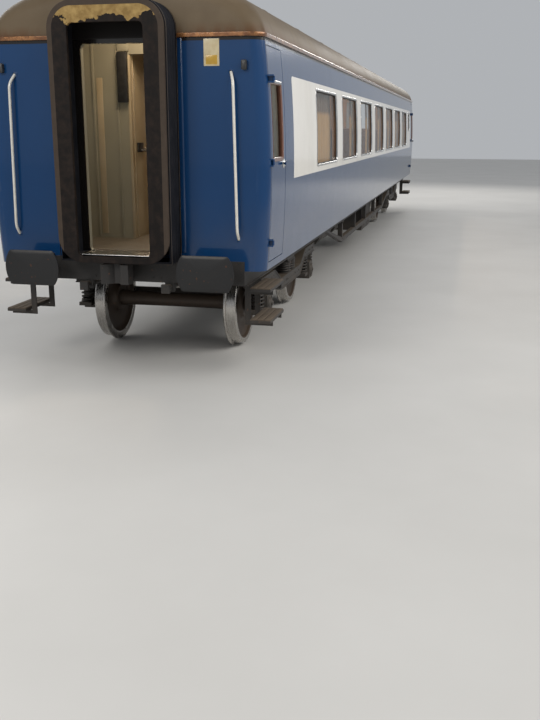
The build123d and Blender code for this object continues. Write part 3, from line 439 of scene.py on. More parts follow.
# %% Bellows canvas
graph = Graph("bellows_rubber")
weave, wear = graph.waves("Y", 160.0) * 0.4 + graph.waves("Z", 160.0) * 0.4, graph.noise(6.0, 6.0)
graph.finish(
    Base_Color=graph.mix((0.004, 0.005, 0.009), (0.018, 0.018, 0.022), wear.ramp(0.4, 0.8)),
    Roughness=wear * 0.25 + 0.55,
    Specular_IOR_Level=0.2,
    Normal=graph.bump(weave + wear * 2.0, 0.0012, 0.5),
)

# %% Faceplate
graph = Graph("faceplate_black")
rim_width, torn_height = 0.06, rail + 3.508
rim, flat = graph.from_arch() > gangway_radius - rim_width, graph.stretch(x=0.2)
worn = graph.noise(5.0, 3.0, flat) * 0.34 + graph.noise(21.0, 5.0, flat) * 0.12
torn = ((graph.z + worn - abs(graph.y) * 0.08) > torn_height) * (1.0 - rim)
patches = graph.noise(16.0, 5.0, flat)
black = graph.mix((0.006, 0.004, 0.0035), (0.02, 0.013, 0.01), patches.ramp(0.4, 0.7))
backing = graph.mix((0.4, 0.27, 0.1), (0.24, 0.15, 0.05), patches.ramp(0.35, 0.65))
grey = graph.mix((0.04, 0.029, 0.021), (0.075, 0.055, 0.042), patches)
graph.finish(
    Base_Color=graph.mix(graph.mix(black, backing, torn), grey, rim),
    Roughness=patches * 0.2 + 0.55,
    Specular_IOR_Level=0.2,
    Normal=graph.bump(patches + torn * -0.6, 0.0025, 0.6),
)

# %% [markdown]
# ## Inside finishes
# The bulkheads are grey-green towards the vestibule, cream in the corridor and veneer towards the saloon,
# told apart by place, as they are one node. Grain could be a wave that noise bends, but plain noise,
# squeezed across the board and drawn out along it, looks more like sliced veneer.

# %% Bulkheads and veneer


def wood(graph):
    """Upright grain and its brown."""
    grain = graph.noise(2.5, 8.0, graph.stretch(x=7.0, y=7.0, z=0.7), 0.65)
    return grain, graph.mix((0.25, 0.115, 0.045), (0.46, 0.25, 0.11), grain.ramp(0.3, 0.7))


graph = Graph("bulkhead_panels")
(grain, brown), cloud = wood(graph), graph.noise(3.0, 5.0)
vestibule = abs(graph.x) > half_length - vestibule_length + 0.01
corridor = (abs(graph.y) < 0.345) * (abs(graph.x) > half_length - corridor_end + 0.02) * (1.0 - vestibule)
panel = graph.mix(brown, graph.mix(cream_low, cream_high, cloud), corridor)
graph.finish(
    Base_Color=graph.mix(panel, graph.mix(green_low, green_high, cloud), vestibule),
    Roughness=cloud * 0.2 + 0.28,
    Coat_Weight=0.3,
    Normal=graph.bump(grain, 0.0005, 0.4),
)
graph = Graph("wood_panel")
grain, brown = wood(graph)
pores = graph.noise(60.0, 4.0, graph.stretch(x=3.0, y=3.0, z=0.08))
graph.finish(
    Base_Color=graph.mix(brown, (0.14, 0.06, 0.025), pores.ramp(0.55, 0.75) * 0.5),
    Roughness=grain * 0.15 + 0.25,
    Coat_Weight=0.6,
    Coat_Roughness=0.12,
    Normal=graph.bump(pores, 0.0004, 0.5),
)

# %% [markdown]
# Real glass bends and reflects light, but rays through a whole coach of it are slow and noisy. So a pane
# is a thin mirror that covers little when looked through squarely and more at a glancing angle. A Fresnel
# node turns to a full mirror on the pane's back, so the facing angle to the fifth power is used. Floor
# specks and fabric tufts are the cells of a Voronoi texture.

# %% Glass, floor and fabrics
graph = Graph("window_glass")
glancing = graph.add("ShaderNodeLayerWeight", inputs={"Blend": 0.5}, output="Facing").math("POWER", 5.0)
haze = graph.noise(2.0, 5.0).ramp(0.5, 0.8) * 0.03
cover = glancing * 0.36 + haze + 0.04
graph.finish(Base_Color=(0.55, 0.62, 0.6), Roughness=0.03, Metallic=1.0, Alpha=cover)

graph = Graph("floor_covering")
specks = graph.tufts(240.0)
cover = graph.mix((0.13, 0.1, 0.075), (0.3, 0.26, 0.2), specks.ramp(0.2, 0.8))
graph.finish(
    Base_Color=graph.mix(cover, (0.022, 0.019, 0.017), graph.z < floor_height - 0.003),
    Roughness=graph.noise(4.0) * 0.3 + 0.3,
    Normal=graph.bump(specks, 0.0004),
)

graph = Graph("seat_fabric")
tufts, flecks = graph.tufts(520.0), graph.noise(90.0, 2.0, graph.stretch(y=0.3)).ramp(0.5, 0.62)
stripes = graph.mix((0.2, 0.07, 0.03), (0.3, 0.13, 0.05), graph.waves("Y", 14.0).ramp(0.4, 0.6) * 0.7)
pile = graph.mix(stripes, (0.09, 0.035, 0.02), flecks * 0.6)
graph.finish(
    Base_Color=graph.mix(pile, (0.03, 0.014, 0.01), tufts.ramp(0.4, 0.9) * 0.6),
    Roughness=0.92,
    Sheen_Weight=0.5,
    Sheen_Roughness=0.4,
    Normal=graph.bump(-tufts, 0.0014, 0.8),
)

graph = Graph("curtain_ochre")
cloth = graph.mix((0.44, 0.25, 0.075), (0.34, 0.18, 0.05), graph.noise(5.0, 4.0))
# the cloth darkens to brown towards its top: painted shade at the head of the window
top_shade = (graph.z - (window_head - 0.27)).ramp(0.0, 0.06)
weave = graph.bump(graph.noise(300.0, 2.0, graph.stretch(z=0.1)), 0.0006, 0.5)
cloth = graph.mix(cloth, (0.1, 0.05, 0.022), top_shade)
graph.finish(Base_Color=cloth, Roughness=0.85, Sheen_Weight=0.3, Normal=weave)

# %% [markdown]
# The small finishes differ only in colour and gloss, each drifting a little over the surface, since nothing
# real is of one even tone.

# %% Small finishes


def plain(name, low, high, rough, metallic=0.0, coat=0.0, scale=20.0):
    """A finish whose colour and gloss drift a little."""
    graph = Graph(name)
    drift = graph.noise(scale, 5.0)
    graph.finish(
        Base_Color=graph.mix(low, high, drift.ramp(0.3, 0.7)),
        Roughness=drift * 0.16 + rough,
        Metallic=metallic,
        Coat_Weight=coat,
        Coat_Roughness=0.1,
        Normal=graph.bump(graph.noise(scale * 6, 3.0), 0.0006, 0.5),
    )


plain("body_blue_plain", blue_low, blue_high, 0.16, coat=0.5, scale=0.8)
plain("panel_green", green_low, green_high, 0.3, coat=0.3, scale=3.0)
plain("corridor_cream", cream_low, cream_high, 0.3, coat=0.3, scale=3.0)
plain("ceiling_cream", ceiling_low, ceiling_high, 0.4, coat=0.3)
plain("lamp_opal", (0.8, 0.78, 0.68), (0.74, 0.72, 0.62), 0.25, coat=0.3)
plain("handrail_white", (0.78, 0.76, 0.7), (0.68, 0.65, 0.57), 0.16, coat=0.8)
plain("plate_cream", (0.6, 0.52, 0.33), (0.52, 0.42, 0.24), 0.25, coat=0.5)
plain("plate_yellow", (0.54, 0.33, 0.035), (0.46, 0.27, 0.03), 0.25, coat=0.5)
plain("droplight_wood", (0.11, 0.037, 0.018), (0.17, 0.062, 0.028), 0.25, coat=0.6)
plain("seat_base", (0.05, 0.045, 0.04), (0.08, 0.072, 0.065), 0.4)
plain("bright_metal", (0.55, 0.55, 0.54), (0.72, 0.72, 0.71), 0.16, 1.0)
plain("rubber_seal", (0.012, 0.012, 0.012), (0.022, 0.021, 0.02), 0.5)
plain("socket_black", (0.02, 0.02, 0.022), (0.035, 0.035, 0.035), 0.35)
plain("rim_grey", (0.045, 0.036, 0.028), (0.075, 0.06, 0.048), 0.45)
plain("studio_floor", (0.62, 0.61, 0.59), (0.58, 0.57, 0.55), 0.6, scale=0.6)
glow = materials["lamp_opal"].node_tree.nodes["Principled BSDF"].inputs
glow["Emission Color"].default_value, glow["Emission Strength"].default_value = (1, 0.78, 0.5, 1), 1.0

# %% [markdown]
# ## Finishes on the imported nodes
# Each node takes the finish that the record names for its slot. Real iron and wood have worn edges that
# catch the light, so the nodes get a bevel as a modifier, which leaves their own mesh alone. A weld and a
# dissolve come first, as a bevel needs clean flat faces.

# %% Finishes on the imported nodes
node_slot = {part["node"]: part["material_slot"] for part in frame["record"]["subparts"]}
# these two have several paints in one node, so each has a finish of its own
node_slot |= {"gangway_faceplates": "faceplate_black", "bulkheads": "bulkhead_panels"}
for name, node in nodes.items():
    node.data.materials.clear()
    node.data.materials.append(materials[node_slot[name]])


def soften(names, width, segments=2):
    """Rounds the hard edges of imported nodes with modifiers."""
    for name in names.split():
        add = nodes[name].modifiers.new
        add("weld", "WELD").merge_threshold = 0.00005
        flatten = add("flatten", "DECIMATE")
        flatten.decimate_type, flatten.angle_limit = "DISSOLVE", math.radians(0.5)
        bevel = add("bevel", "BEVEL")
        bevel.width, bevel.segments, bevel.harden_normals = width, segments, True
        bevel.limit_method, bevel.angle_limit = "ANGLE", math.radians(35)
    print("bevel of", width, "m on", names)


soften("underframe footsteps couplers pipe_ends underframe_boxes gangway_faceplates", 0.004)
soften("bogie_frame_a bogie_frame_b bogie_bolster_a bogie_bolster_b", 0.006)
soften("axleboxes_a axleboxes_b bogie_brakes_a bogie_brakes_b", 0.004)
soften("tables luggage_racks ceiling_lamps seat_frames bulkheads", 0.003)
soften("rain_gutter", 0.006, 3)

# %% [markdown]
# ## Mesh tools
# The new pieces are pressed, turned, bent or folded metal, so they are built from rows of points, outlines
# turned round an axis, tubes along a path, and chamfered blocks. Curves and modifiers could make them too,
# but points written straight into a mesh need no conversion. `Build` collects them and makes one piece. A
# coach is the same at its four corners, so a shape is written once, at +X and +Y, and mirrored to them.


# %% Mesh tools
def circle(centre, sideways, up, radius, steps):
    """Points evenly round a circle, from the sideways direction towards the up one."""
    turns = [2 * math.pi * k / steps for k in range(steps)]
    return [centre + (sideways * math.cos(a) + up * math.sin(a)) * radius for a in turns]


class Build:
    """Collects rows of points, turned shapes, tubes and blocks into one mesh."""

    corner = (1, 1)

    def __init__(self):
        self.points, self.faces, self.kinds = [], [], []

    def add(self, points, faces, kind=0):
        """Adds mirrored points, and faces that count from the first of them. The kind picks the finish."""
        start, (end, side) = len(self.points), Build.corner
        self.points += [(end * x, side * y, z) for x, y, z in points]
        self.faces += [tuple(start + i for i in face) for face in faces]
        self.kinds += [kind] * len(faces)

    def grid(self, rows, kind=0, closed=True, caps=""):
        """Quads between rows of points, closed round each row; caps name the ends that get a face."""
        wide, faces = len(rows[0]), []
        for i in range(len(rows) - 1):
            for j in range(wide if closed else wide - 1):
                a, b = i * wide + j, i * wide + (j + 1) % wide
                faces.append((a, b, b + wide, a + wide))
        self.add([p for row in rows for p in row], faces, kind)
        for end in caps:
            self.add(rows[0 if end == "<" else -1], [range(wide)], kind)

    def lathe(self, outline, centre, axis, steps=32, kind=0):
        """An outline of (along the axis, radius) turned round an axis through the centre."""
        axis = Vector(axis)
        side = axis.orthogonal().normalized()
        centre, up = Vector(centre), axis.cross(side)
        self.grid([circle(centre + axis * out, side, up, radius, steps) for out, radius in outline], kind)

    def tube(self, points, radius, around=14, caps=""):
        """A tube along a path of points, without twist."""
        points = [Vector(p) for p in points]
        normal = (points[1] - points[0]).orthogonal()
        rows = []
        for i, point in enumerate(points):
            way = (points[min(i + 1, len(points) - 1)] - points[max(i - 1, 0)]).normalized()
            normal = (normal - way * normal.dot(way)).normalized()
            rows.append(circle(point, normal, way.cross(normal), radius, around))
        self.grid(rows, caps=caps)

    def block(self, low, high, edge, kind=0):
        """A box between two corners, in any order, with every edge chamfered."""
        middle, half = (Vector(high) + Vector(low)) / 2, (Vector(high) - Vector(low)) / 2
        half = [abs(h) for h in half]
        shape = bmesh.new()
        bmesh.ops.create_cube(shape, size=2.0)
        for vertex in shape.verts:
            vertex.co = [middle[i] + vertex.co[i] * half[i] for i in range(3)]
        edge = min(edge, 0.49 * min(half))
        bmesh.ops.bevel(shape, geom=shape.edges[:], offset=edge, segments=2, profile=0.5, affect="EDGES")
        self.add([v.co for v in shape.verts], [[v.index for v in face.verts] for face in shape.faces], kind)
        shape.free()

    def bolts(self, places, axis, size=0.014, height=0.01, kind=0):
        """Hexagon heads on a round washer."""
        washer = height * 0.25
        for place in places:
            rim = ((0, 0), (0, size * 1.25), (washer, size * 1.25), (washer, size))
            self.lathe(rim, place, axis, 12, kind)
            self.lathe(((washer, size), (height, size), (height, 0)), place, axis, 6, kind)

    def rivet(self, place, axis, size=0.009):
        self.lathe(((0, size), (size * 0.45, size * 0.8), (size * 0.7, 0)), place, axis, 8)

    def piece(self, name, body, slot, finishes=None, stands_for=(), sharp=0):
        """Makes the piece: it rides on a body, has the finishes or else the slot's one, and is smooth below
        the sharp angle.
        """
        mesh = bpy.data.meshes.new(name)
        mesh.from_pydata(self.points, [], self.faces)
        mesh.polygons.foreach_set("material_index", self.kinds)
        work = bmesh.new()
        work.from_mesh(mesh)
        bmesh.ops.remove_doubles(work, verts=work.verts, dist=0.00002)
        bmesh.ops.recalc_face_normals(work, faces=work.faces)
        for edge in work.edges if sharp else ():
            edge.smooth = len(edge.link_faces) == 2 and edge.calc_face_angle(0) < math.radians(sharp)
        work.to_mesh(mesh)
        work.free()
        mesh.polygons.foreach_set("use_smooth", [True] * len(mesh.polygons))
        for finish in (finishes or slot).split():
            mesh.materials.append(materials[finish])
        piece = bpy.data.objects.new(name, mesh)
        scene.collection.objects.link(piece)
        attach(piece, body)
        if stands_for:
            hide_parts(stands_for)
        print(name, len(mesh.polygons), "faces on", body)
        return piece


def at_each(places):
    """Goes to each (end, side) in turn, so that whatever is built there is mirrored to it."""
    for place in places:
        Build.corner = place
        yield place
    Build.corner = (1, 1)


# %% [markdown]
# Pressed frames and passages are rectangles with rounded corners, and rails are bars bent at their
# corners. Each is one function here, so that its number of points is chosen in one place.


# %% Outlines and paths
def rounded_rectangle(width, height, corner, steps=6):
    """Points (x, z) anticlockwise round a rectangle with rounded corners, about its middle."""
    points = []
    for quarter, (sx, sz) in enumerate(((1, 1), (-1, 1), (-1, -1), (1, -1))):
        x, z = sx * (width / 2 - corner), sz * (height / 2 - corner)
        for i in range(steps + 1):
            a = math.pi / 2 * (quarter + i / steps)
            points.append((x + corner * math.cos(a), z + corner * math.sin(a)))
    return points


def bent(points, bend, steps=8):
    """A path whose corners are turned into arcs that start a bend's length from each corner."""
    points = [Vector(p) for p in points]
    path = [points[0]]
    for before, corner, after in zip(points, points[1:], points[2:]):
        start = corner + (before - corner).normalized() * bend
        stop = corner + (after - corner).normalized() * bend
        for t in (i / steps for i in range(steps + 1)):
            path.append(start * (1 - t) ** 2 + corner * 2 * t * (1 - t) + stop * t * t)
    return path + [points[-1]]


def arch(half, bottom, top, radius):
    """Points (y, z) round a passage with upright sides, a square foot and a rounded head."""
    flat, shoulder = half - radius, top - radius
    right = [(half, bottom + (shoulder - bottom) * k / 12) for k in range(13)]
    for a in (math.pi / 20 * i for i in range(1, 11)):
        right.append((flat + radius * math.cos(a), shoulder + radius * math.sin(a)))
    return right + [(flat - flat * k / 4, top) for k in range(1, 8)] + [(-y, z) for y, z in reversed(right)]


# %% [markdown]
# ## Roof
# The real roof is sheet beaten smooth over its domed end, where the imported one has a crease. Subdividing
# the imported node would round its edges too, so a new skin stands for it. From a point under the dome, rays
# go out like the ribs of a fan, and each is halved again and again until it ends where a smooth blend of
# the arched section and the leaning end is met.

# %% Roof
lean = math.asin((gutter_height - waist_height) / side_radius)
cant_y = side_y(gutter_height) - cantrail_radius * math.cos(lean)
cant_z = gutter_height - cantrail_radius * math.sin(lean)
rise = roof_height - cant_z
crown_radius = (cant_y**2 + rise**2 - cantrail_radius**2) / (2 * (rise - cantrail_radius))
crown_z = roof_height - crown_radius
cant_turn = math.atan2(cant_y, cant_z - crown_z)
dome_reach = 1.4
dome_heart = Vector((dome_reach - half_length, 0, gutter_height + 0.0005))
towards_end = Vector((-1, 0, 0))


def outside_roof(point, inset):
    """Distance outside the roof's surface, with the meeting of section and end rounded."""
    x, y, z = abs(point[0]), abs(point[1]), point[2]
    if math.atan2(y, z - crown_z) < cant_turn:
        section = math.hypot(y, z - crown_z) - crown_radius
    else:
        section = math.hypot(y - cant_y, z - cant_z) - cantrail_radius
    end, over = x - half_length, z - gutter_height - dome_start
    if over >= 0:
        end = math.hypot(max(end + dome_radius, 0), over) - dome_radius
    blend = 0.02 if inset else 0.14 + 0.1 * min(1.0, max(0.0, z - gutter_height) / 0.3)
    near = max(blend - abs(section - end), 0) / blend
    return max(section, end) + near * near * blend / 4 + inset


def roof_point(way, inset):
    """Where a ray from the heart of the dome meets the roof's surface, found by halving."""
    low, high = 0.0, 2.5
    for _ in range(34):
        middle = (low + high) / 2
        if outside_roof(dome_heart + way * middle, inset) > 0:
            high = middle
        else:
            low = middle
    return dome_heart + way * low


build, shells = Build(), []
fan_parts = np.concatenate((np.linspace(0.08, 0.8, 12), np.linspace(0.83, 1.2, 15), (1.3, 1.5, 1.75, 2)))
for kind, inset in enumerate((0.0, wall)):
    tip, rows = roof_point(towards_end, inset), []
    for part in fan_parts:
        row = []
        for turn in np.linspace(0, math.pi, 57):
            sideways = Vector((0, math.cos(turn), math.sin(turn)))
            corner = math.atan2((roof_point(sideways, inset) - dome_heart).length, dome_reach)
            fan = corner * part if part < 1 else corner + (part - 1) * (math.pi / 2 - corner)
            p = roof_point(towards_end * math.cos(fan) + sideways * math.sin(fan), inset)
            row.append((p.x, p.y, max(p.z, gutter_height)))
        rows.append(row)
    rows = [[(tip.x, 0, gutter_height)] * 57] + rows
    middle_row = [(0, y, z) for _, y, z in rows[-1]]
    shell = rows + [middle_row] + [[(-x, y, z) for x, y, z in row] for row in reversed(rows)]
    build.grid(shell, kind, closed=False)
    shells.append(shell)
# a strip along each gutter joins the skin to the lining
for column in (0, -1):
    build.grid([[row[column] for row in shell] for shell in shells], 1, closed=False)
build.piece("roof_skin", "coach", "roof_grey", "roof_grey ceiling_cream", "roof", 50)

# %% [markdown]
# ## Roof ventilators
# Each is a hood of thin sheet, with slats in its flanks to keep the rain out, on a flanged foot. A block
# with a wide bevel would look cast, so the hood is a row of half-round hoops that shrink towards both ends.

# %% Roof ventilators
ventilator_turn = math.asin(0.52 / crown_radius)
# reach along, width, shoulder and height of each hoop, from one end to the middle
hoops = (
    (-0.148, 0.11, 0.012, 0.02),
    (-0.146, 0.136, 0.03, 0.048),
    (-0.132, 0.158, 0.044, 0.074),
    (-0.1, 0.172, 0.05, 0.088),
    (0.0, 0.176, 0.05, 0.093),
)
hoops += tuple((-reach, *shape) for reach, *shape in hoops[3::-1])
bend = [(math.cos(a), math.sin(a)) for a in np.linspace(math.pi, 0, 13)]
up = Vector((0, math.sin(ventilator_turn), math.cos(ventilator_turn)))
outward = Vector((0, up.z, -up.y))
build = Build()
for _ in at_each(two_sides):
    for x in window_places:
        foot = Vector((x, 0, crown_z)) + up * (crown_radius + 0.0005)

        def at(reach, out, rise):
            return foot + along * reach + outward * out + up * rise

        rows = []
        for reach, width, shoulder, height in hoops:
            hoop = [(c * width / 2, shoulder + s * (height - shoulder)) for c, s in bend]
            hoop = [(-width / 2, 0.0), *hoop, (width / 2, 0.0)]
            rows.append([at(reach, out, rise + 0.001) for out, rise in hoop])
        build.grid(rows, closed=False, caps="<>")
        flange = rounded_rectangle(0.298, 0.188, 0.012, 3)
        build.grid([[at(a, o, h) for a, o in flange] for h in (0.0, 0.005)], caps=">")
        for step in range(4):
            for low, hand in ((-0.105, 1), (-0.105, -1), (0.015, 1), (0.015, -1)):
                slat = [[at(a, hand * (0.088 + d), 0.02 + 0.014 * step + h) for a in (low, low + 0.09)]
                        for d, h in ((0.0, 0.0), (0.004, 0.004), (0.0, 0.009))]
                build.grid(slat, closed=False)
build.piece("roof_ventilators_detail", "coach", "roof_grey", stands_for="roof_ventilators", sharp=40)

# %% [markdown]
# ## Windows
# Each pane sits in a black rubber seal, behind a thin bright frame on the skin and a wooden trim inside.
# All three are rings of one shape with another profile. A curve with a bevel profile could make them, but
# it would stay flat. The side is curved, so the uprights of a ring are cut into steps that follow it.

# %% Window frames, seals and trims
frame_profile = (
    (0.024, 0.0), (0.024, 0.003), (0.02, 0.0055), (0.004, 0.0055), (-0.001, 0.003), (-0.001, -0.022),
)
seal_profile = ((-0.0005, -0.012), (-0.005, -0.009), (-0.01, -0.011), (-0.013, -0.0238))
trim_profile = ((0.019, -0.034), (0.019, -0.074), (0.024, -0.079), (0.05, -0.079), (0.054, -0.0703))
square = 0.004


def skin_ring(build, middle, width, high, corner, profile):
    """A ring round an opening in the curved side; its profile is (grown, outward from the skin)."""
    rows = []
    for grown, outward in profile:
        shape = rounded_rectangle(width + 2 * grown, high + 2 * grown, max(corner + grown, square), 7)
        row = []
        for (x, z), (next_x, next_z) in zip(shape, shape[1:] + shape[:1]):
            steps = 8 if abs(next_z - z) > 0.1 else 1
            for t in (k / steps for k in range(steps)):
                height = middle[1] + z + (next_z - z) * t
                row.append((middle[0] + x + (next_x - x) * t, side_y(height) + outward, height))
        rows.append(row)
    build.grid(rows)


bright, seals, trims = Build(), Build(), Build()
for _, side in at_each(two_sides):
    openings = [((x, window_head - window_high / 2), window_width, window_high) for x in window_places]
    # the small window is near end A on the left side and near end B on the right side
    toilet_middle = (side * (toilet_place - half_length), window_head - toilet_high / 2)
    for opening in (*openings, (toilet_middle, toilet_width, toilet_high)):
        skin_ring(bright, *opening, window_corner, frame_profile)
        skin_ring(seals, *opening, window_corner, seal_profile)
        skin_ring(trims, *opening, square, trim_profile)
bright.piece("window_frames", "coach", "bright_metal")
seals.piece("window_seals", "coach", "window_glass", "rubber_seal")
trims.piece("window_trims", "coach", "wood_panel")

# %% [markdown]
# ## Curtains
# A pair hangs inside every saloon window, tied back, but drawn at the first one on the right side, which
# the photograph shows. Cloth could be simulated, but behind glass a sine across it makes folds that are
# as good. It shifts a little on its way down.

# %% Curtains
curtain_top, curtain_foot = window_head + 0.045, window_head - window_high - 0.03
# from the middle of a window to a curtain's outer edge, and the width of a curtain
curtain_edge, drawn_width, tied_width, half_folds = 0.875, 0.88, 0.125, 13
build, rods = Build(), Build()
for _, side in at_each(two_sides):
    for middle_x in window_places:
        drawn = side < 0 and middle_x == window_places[0]
        for hand in (-1, 1):
            rows = []
            for i, z in enumerate(np.linspace(curtain_top, curtain_foot, 9)):
                fall = 0.5 + 0.5 * math.cos(math.pi * min(1.0, i / 4))
                width = drawn_width if drawn else tied_width + 0.02 * (1 - fall)
                depth = 0.008 if drawn else 0.013 * (1 - 0.35 * fall)
                row = []
                for part in np.linspace(0, 1, 57):
                    fold = math.sin(part * half_folds * math.pi + 0.5 * math.sin(i * 0.7 + middle_x))
                    x = middle_x + hand * (curtain_edge - width * part)
                    row.append((x, side_y(z) - 0.108 + depth * fold, z))
                rows.append(row)
            build.grid(rows, closed=False)
        rod_y = side_y(curtain_top) - 0.1
        rods.tube([(middle_x + x, rod_y, curtain_top + 0.006) for x in (-0.9, 0, 0.9)], 0.006, 10)
build.piece("curtains", "coach", "seat_fabric", "curtain_ochre")
rods.piece("curtain_rods", "coach", "bright_metal")

# %% [markdown]
# ## Doors
# Each leaf carries a wooden droplight frame with a bright capping, a round lock plate, a handle inside,
# hinge screws and kicking plates. They could be one piece for the whole coach, but they ride on the leaf,
# so that they swing with it. Every leaf is hinged at its left edge, seen from outside, so the hand of a
# corner says towards which end that is.

# %% Door fittings
window_mid, handle_z = window_head - door_window_high / 2, floor_height + 0.83
hinge_heights = [door_bottom + z for z in (0.183, 0.923, 1.663)]
leaf_width = door_opening - hinge_gap - latch_gap
droplight_profile = ((-0.001, 0.0), (-0.003, 0.002), (-0.03, -0.001), (-0.038, -0.006), (-0.04, -0.0235))
inner_profile = ((0.019, -0.034), (0.019, -0.055), (0.03, -0.058), (0.05, -0.0525))
lock_plate = ((0.0, 0.045), (0.002, 0.047), (0.006, 0.045), (0.008, 0.036), (0.02, 0.025), (0.027, 0.0235))
handle = ((0, 0.03), (0.01, 0.03), (0.014, 0.02), (0.03, 0.014), (0.034, 0.0))
for end, side in at_each(four_corners):
    hand, wood, metal = end * side, Build(), Build()
    hinge = door_middle + hand * (door_opening - hinge_gap) / 2
    leaf_x = hinge - hand * (hinge_gap + leaf_width) / 2
    pane_x = leaf_x + hand * door_window_shift
    opening = ((pane_x, window_mid), door_window_width, door_window_high)
    skin_ring(wood, *opening, window_corner, droplight_profile)
    skin_ring(wood, *opening, square, inner_profile)
    reach, y = door_window_width / 2 - 0.006, side_y(window_head)
    low = (pane_x - reach, y - 0.004, window_head - 0.03)
    metal.block(low, (pane_x + reach, y + 0.007, window_head - 0.006), 0.003)
    x, y = leaf_x - hand * (leaf_width / 2 - 0.09), side_y(handle_z)
    metal.lathe(lock_plate, (x, y - 0.0005, handle_z), across, 36)
    screws = circle(Vector((x, y + 0.006, handle_z)), along, upright, 0.036, 4)
    metal.lathe(handle, (x, y - 0.052, handle_z - 0.02), (0, -1, 0), 28)
    for z in hinge_heights:
        screws += [(hinge - hand * d, side_y(z) + 0.0165, z) for d in (0.018, 0.034)]
    metal.bolts(screws, across, 0.003, 0.002)
    for z in (door_bottom + 0.04, door_bottom + 0.055):
        reach, y = leaf_width / 2 - 0.02, side_y(z)
        metal.block((leaf_x - reach, y - 0.054, z), (leaf_x + reach, y - 0.05, z + 0.2), 0.001)
    place = f"{end_names[end]}_{side_names[side]}"
    wood.piece(f"droplight_frame_{place}", f"door_{place}", "wood_panel", "droplight_wood", sharp=50)
    metal.piece(f"door_fittings_{place}", f"door_{place}", "bright_metal", sharp=40)

# %% [markdown]
# A doorway is stepped, and a rubber strip in the step keeps the draught out behind the closed leaf. It is
# folded from rows of four points that follow the curved jambs, with a straight strip at head and foot.

# %% Rubber strips round the doorways
build = Build()
x0, x1 = half_length - door_start - door_opening, half_length - door_start
for _ in at_each(four_corners):
    for low, high in ((x0 - 0.02, x0 + 0.025), (x1 - 0.025, x1 + 0.02)):
        rows = []
        for z in np.linspace(door_bottom - 0.006, door_bottom + door_height + 0.006, 13):
            outer, inner = side_y(z) - 0.058, side_y(z) - 0.068
            rows.append([(low, outer, z), (high, outer, z), (high, inner, z), (low, inner, z)])
        build.grid(rows)
    for z in (door_bottom + door_height - 0.02, door_bottom - 0.01):
        build.block((x0, side_y(z) - 0.058, z), (x1, side_y(z) - 0.075, z + 0.032), 0.002)
build.piece("doorway_rebates", "coach", "window_glass", "rubber_seal", sharp=5)

# %% [markdown]
# ## Ends
# The real handrail is one bar bent at both ends into round feet. A curve object with a round bevel could
# make it; here a tube follows a path whose corners are rounded. Beside it are a socket with a hinged lid,
# and a blank plate, cream with a yellow field.

# %% Handrails and sockets
rails, sockets = Build(), Build()
rail_foot = ((0.0, 0.027), (0.003, 0.027), (0.005, 0.024), (0.008, 0.016))
# distance out, width, height and corner of each ring of the socket
socket_rings = (
    (0.0, 0.046, 0.083, 0.01), (0.03, 0.046, 0.083, 0.01), (0.032, 0.047, 0.084, 0.011),
    (0.04, 0.047, 0.084, 0.011), (0.044, 0.036, 0.07, 0.01), (0.0445, 0.0, 0.0, 0.0),
)
for _ in at_each(four_corners):
    rail_x = half_length + 0.06
    top, foot = (half_length, 1.063, rail + 2.848), (half_length, 1.125, rail + 1.35)
    rails.tube(bent((top, (rail_x, 1.095, rail + 2.762), (rail_x, 1.125, rail + 1.42), foot), 0.05), 0.0135)
    for x, y, z in (top, foot):
        rails.lathe(rail_foot, (x, y, z), along, 24, 1)
        rails.bolts([(x + 0.0035, y + a, z) for a in (0.0205, -0.0205)], along, 0.003, 0.003, 1)
    socket = Vector((half_length, 1.19, rail + 2.905))
    rings = [(reach, rounded_rectangle(*shape, 4)) for reach, *shape in socket_rings]
    sockets.grid([[socket + Vector((reach, y, z)) for y, z in ring] for reach, ring in rings])
    sockets.lathe(((-0.022, 0.004), (0.022, 0.004)), socket + Vector((0.034, 0, 0.0395)), across, 10)
finishes = "handrail_white body_blue_plain"
rails.piece("end_handrails_bent", "coach", "handrail_white", finishes, "end_handrails", 50)
sockets.piece("end_sockets_lidded", "coach", "underframe_black", "socket_black", "end_sockets", 40)

# %% Blank plates
plate_foot, plate_head = rail + 2.901, rail + 3.133
# width, foot, head and thickness of the cream plate and of the yellow field on it
plate_fields = (
    (0.145, plate_foot, plate_head, 0.0022),
    (0.107, plate_foot + 0.013, plate_foot + 0.093, 0.0028),
)
plates = Build()
for end in (-1, 1):
    x, y = end * (half_length + 0.0002), end * 0.8825
    for kind, (width, low, high, thick) in enumerate(plate_fields):
        outline, z = rounded_rectangle(width, high - low, 0.0015, 2), (low + high) / 2
        rows = []
        for out, share in ((0, 1), (thick - 0.0004, 1), (thick, 0.985)):
            rows.append([(x + end * out, y + a * share, z + b * share) for a, b in outline])
        plates.grid(rows, kind, caps=">")
    screws = [(a, z) for a in (-0.062, 0.062) for z in (plate_foot + 0.014, plate_head - 0.013)]
    plates.bolts([(x + end * 0.0018, y + a, z) for a, z in screws], (end, 0, 0), 0.003, 0.002)
plates.piece("blank_plates", "coach", "handrail_white", "plate_cream plate_yellow", sharp=30)

# %% [markdown]
# ## Gangways
# The bellows are canvas pleated over hoops. A screw or an array of one fold could make them, but the folds
# are easier to shape as one grid: each row of points is the arch of the passage, which swells and shrinks
# with a cosine along the coach, raised to a power so that the ridges are round and the valleys sharp. Grey
# rims hold both ends, angles fix them to the coach, and a ribbed plate makes the tread.

# %% Gangways
bellows_depth, bellows_thick, end_flat, rim_inset = 0.294, 0.11, 0.011, 0.0015
fold_pitch = (bellows_depth - 2 * end_flat) / 4


def passage(inset, foot):
    """Points round the gangway's arch, set in from the outside of the bellows, down to a foot."""
    return arch(gangway_half - inset, foot, gangway_top - inset, gangway_radius - inset)


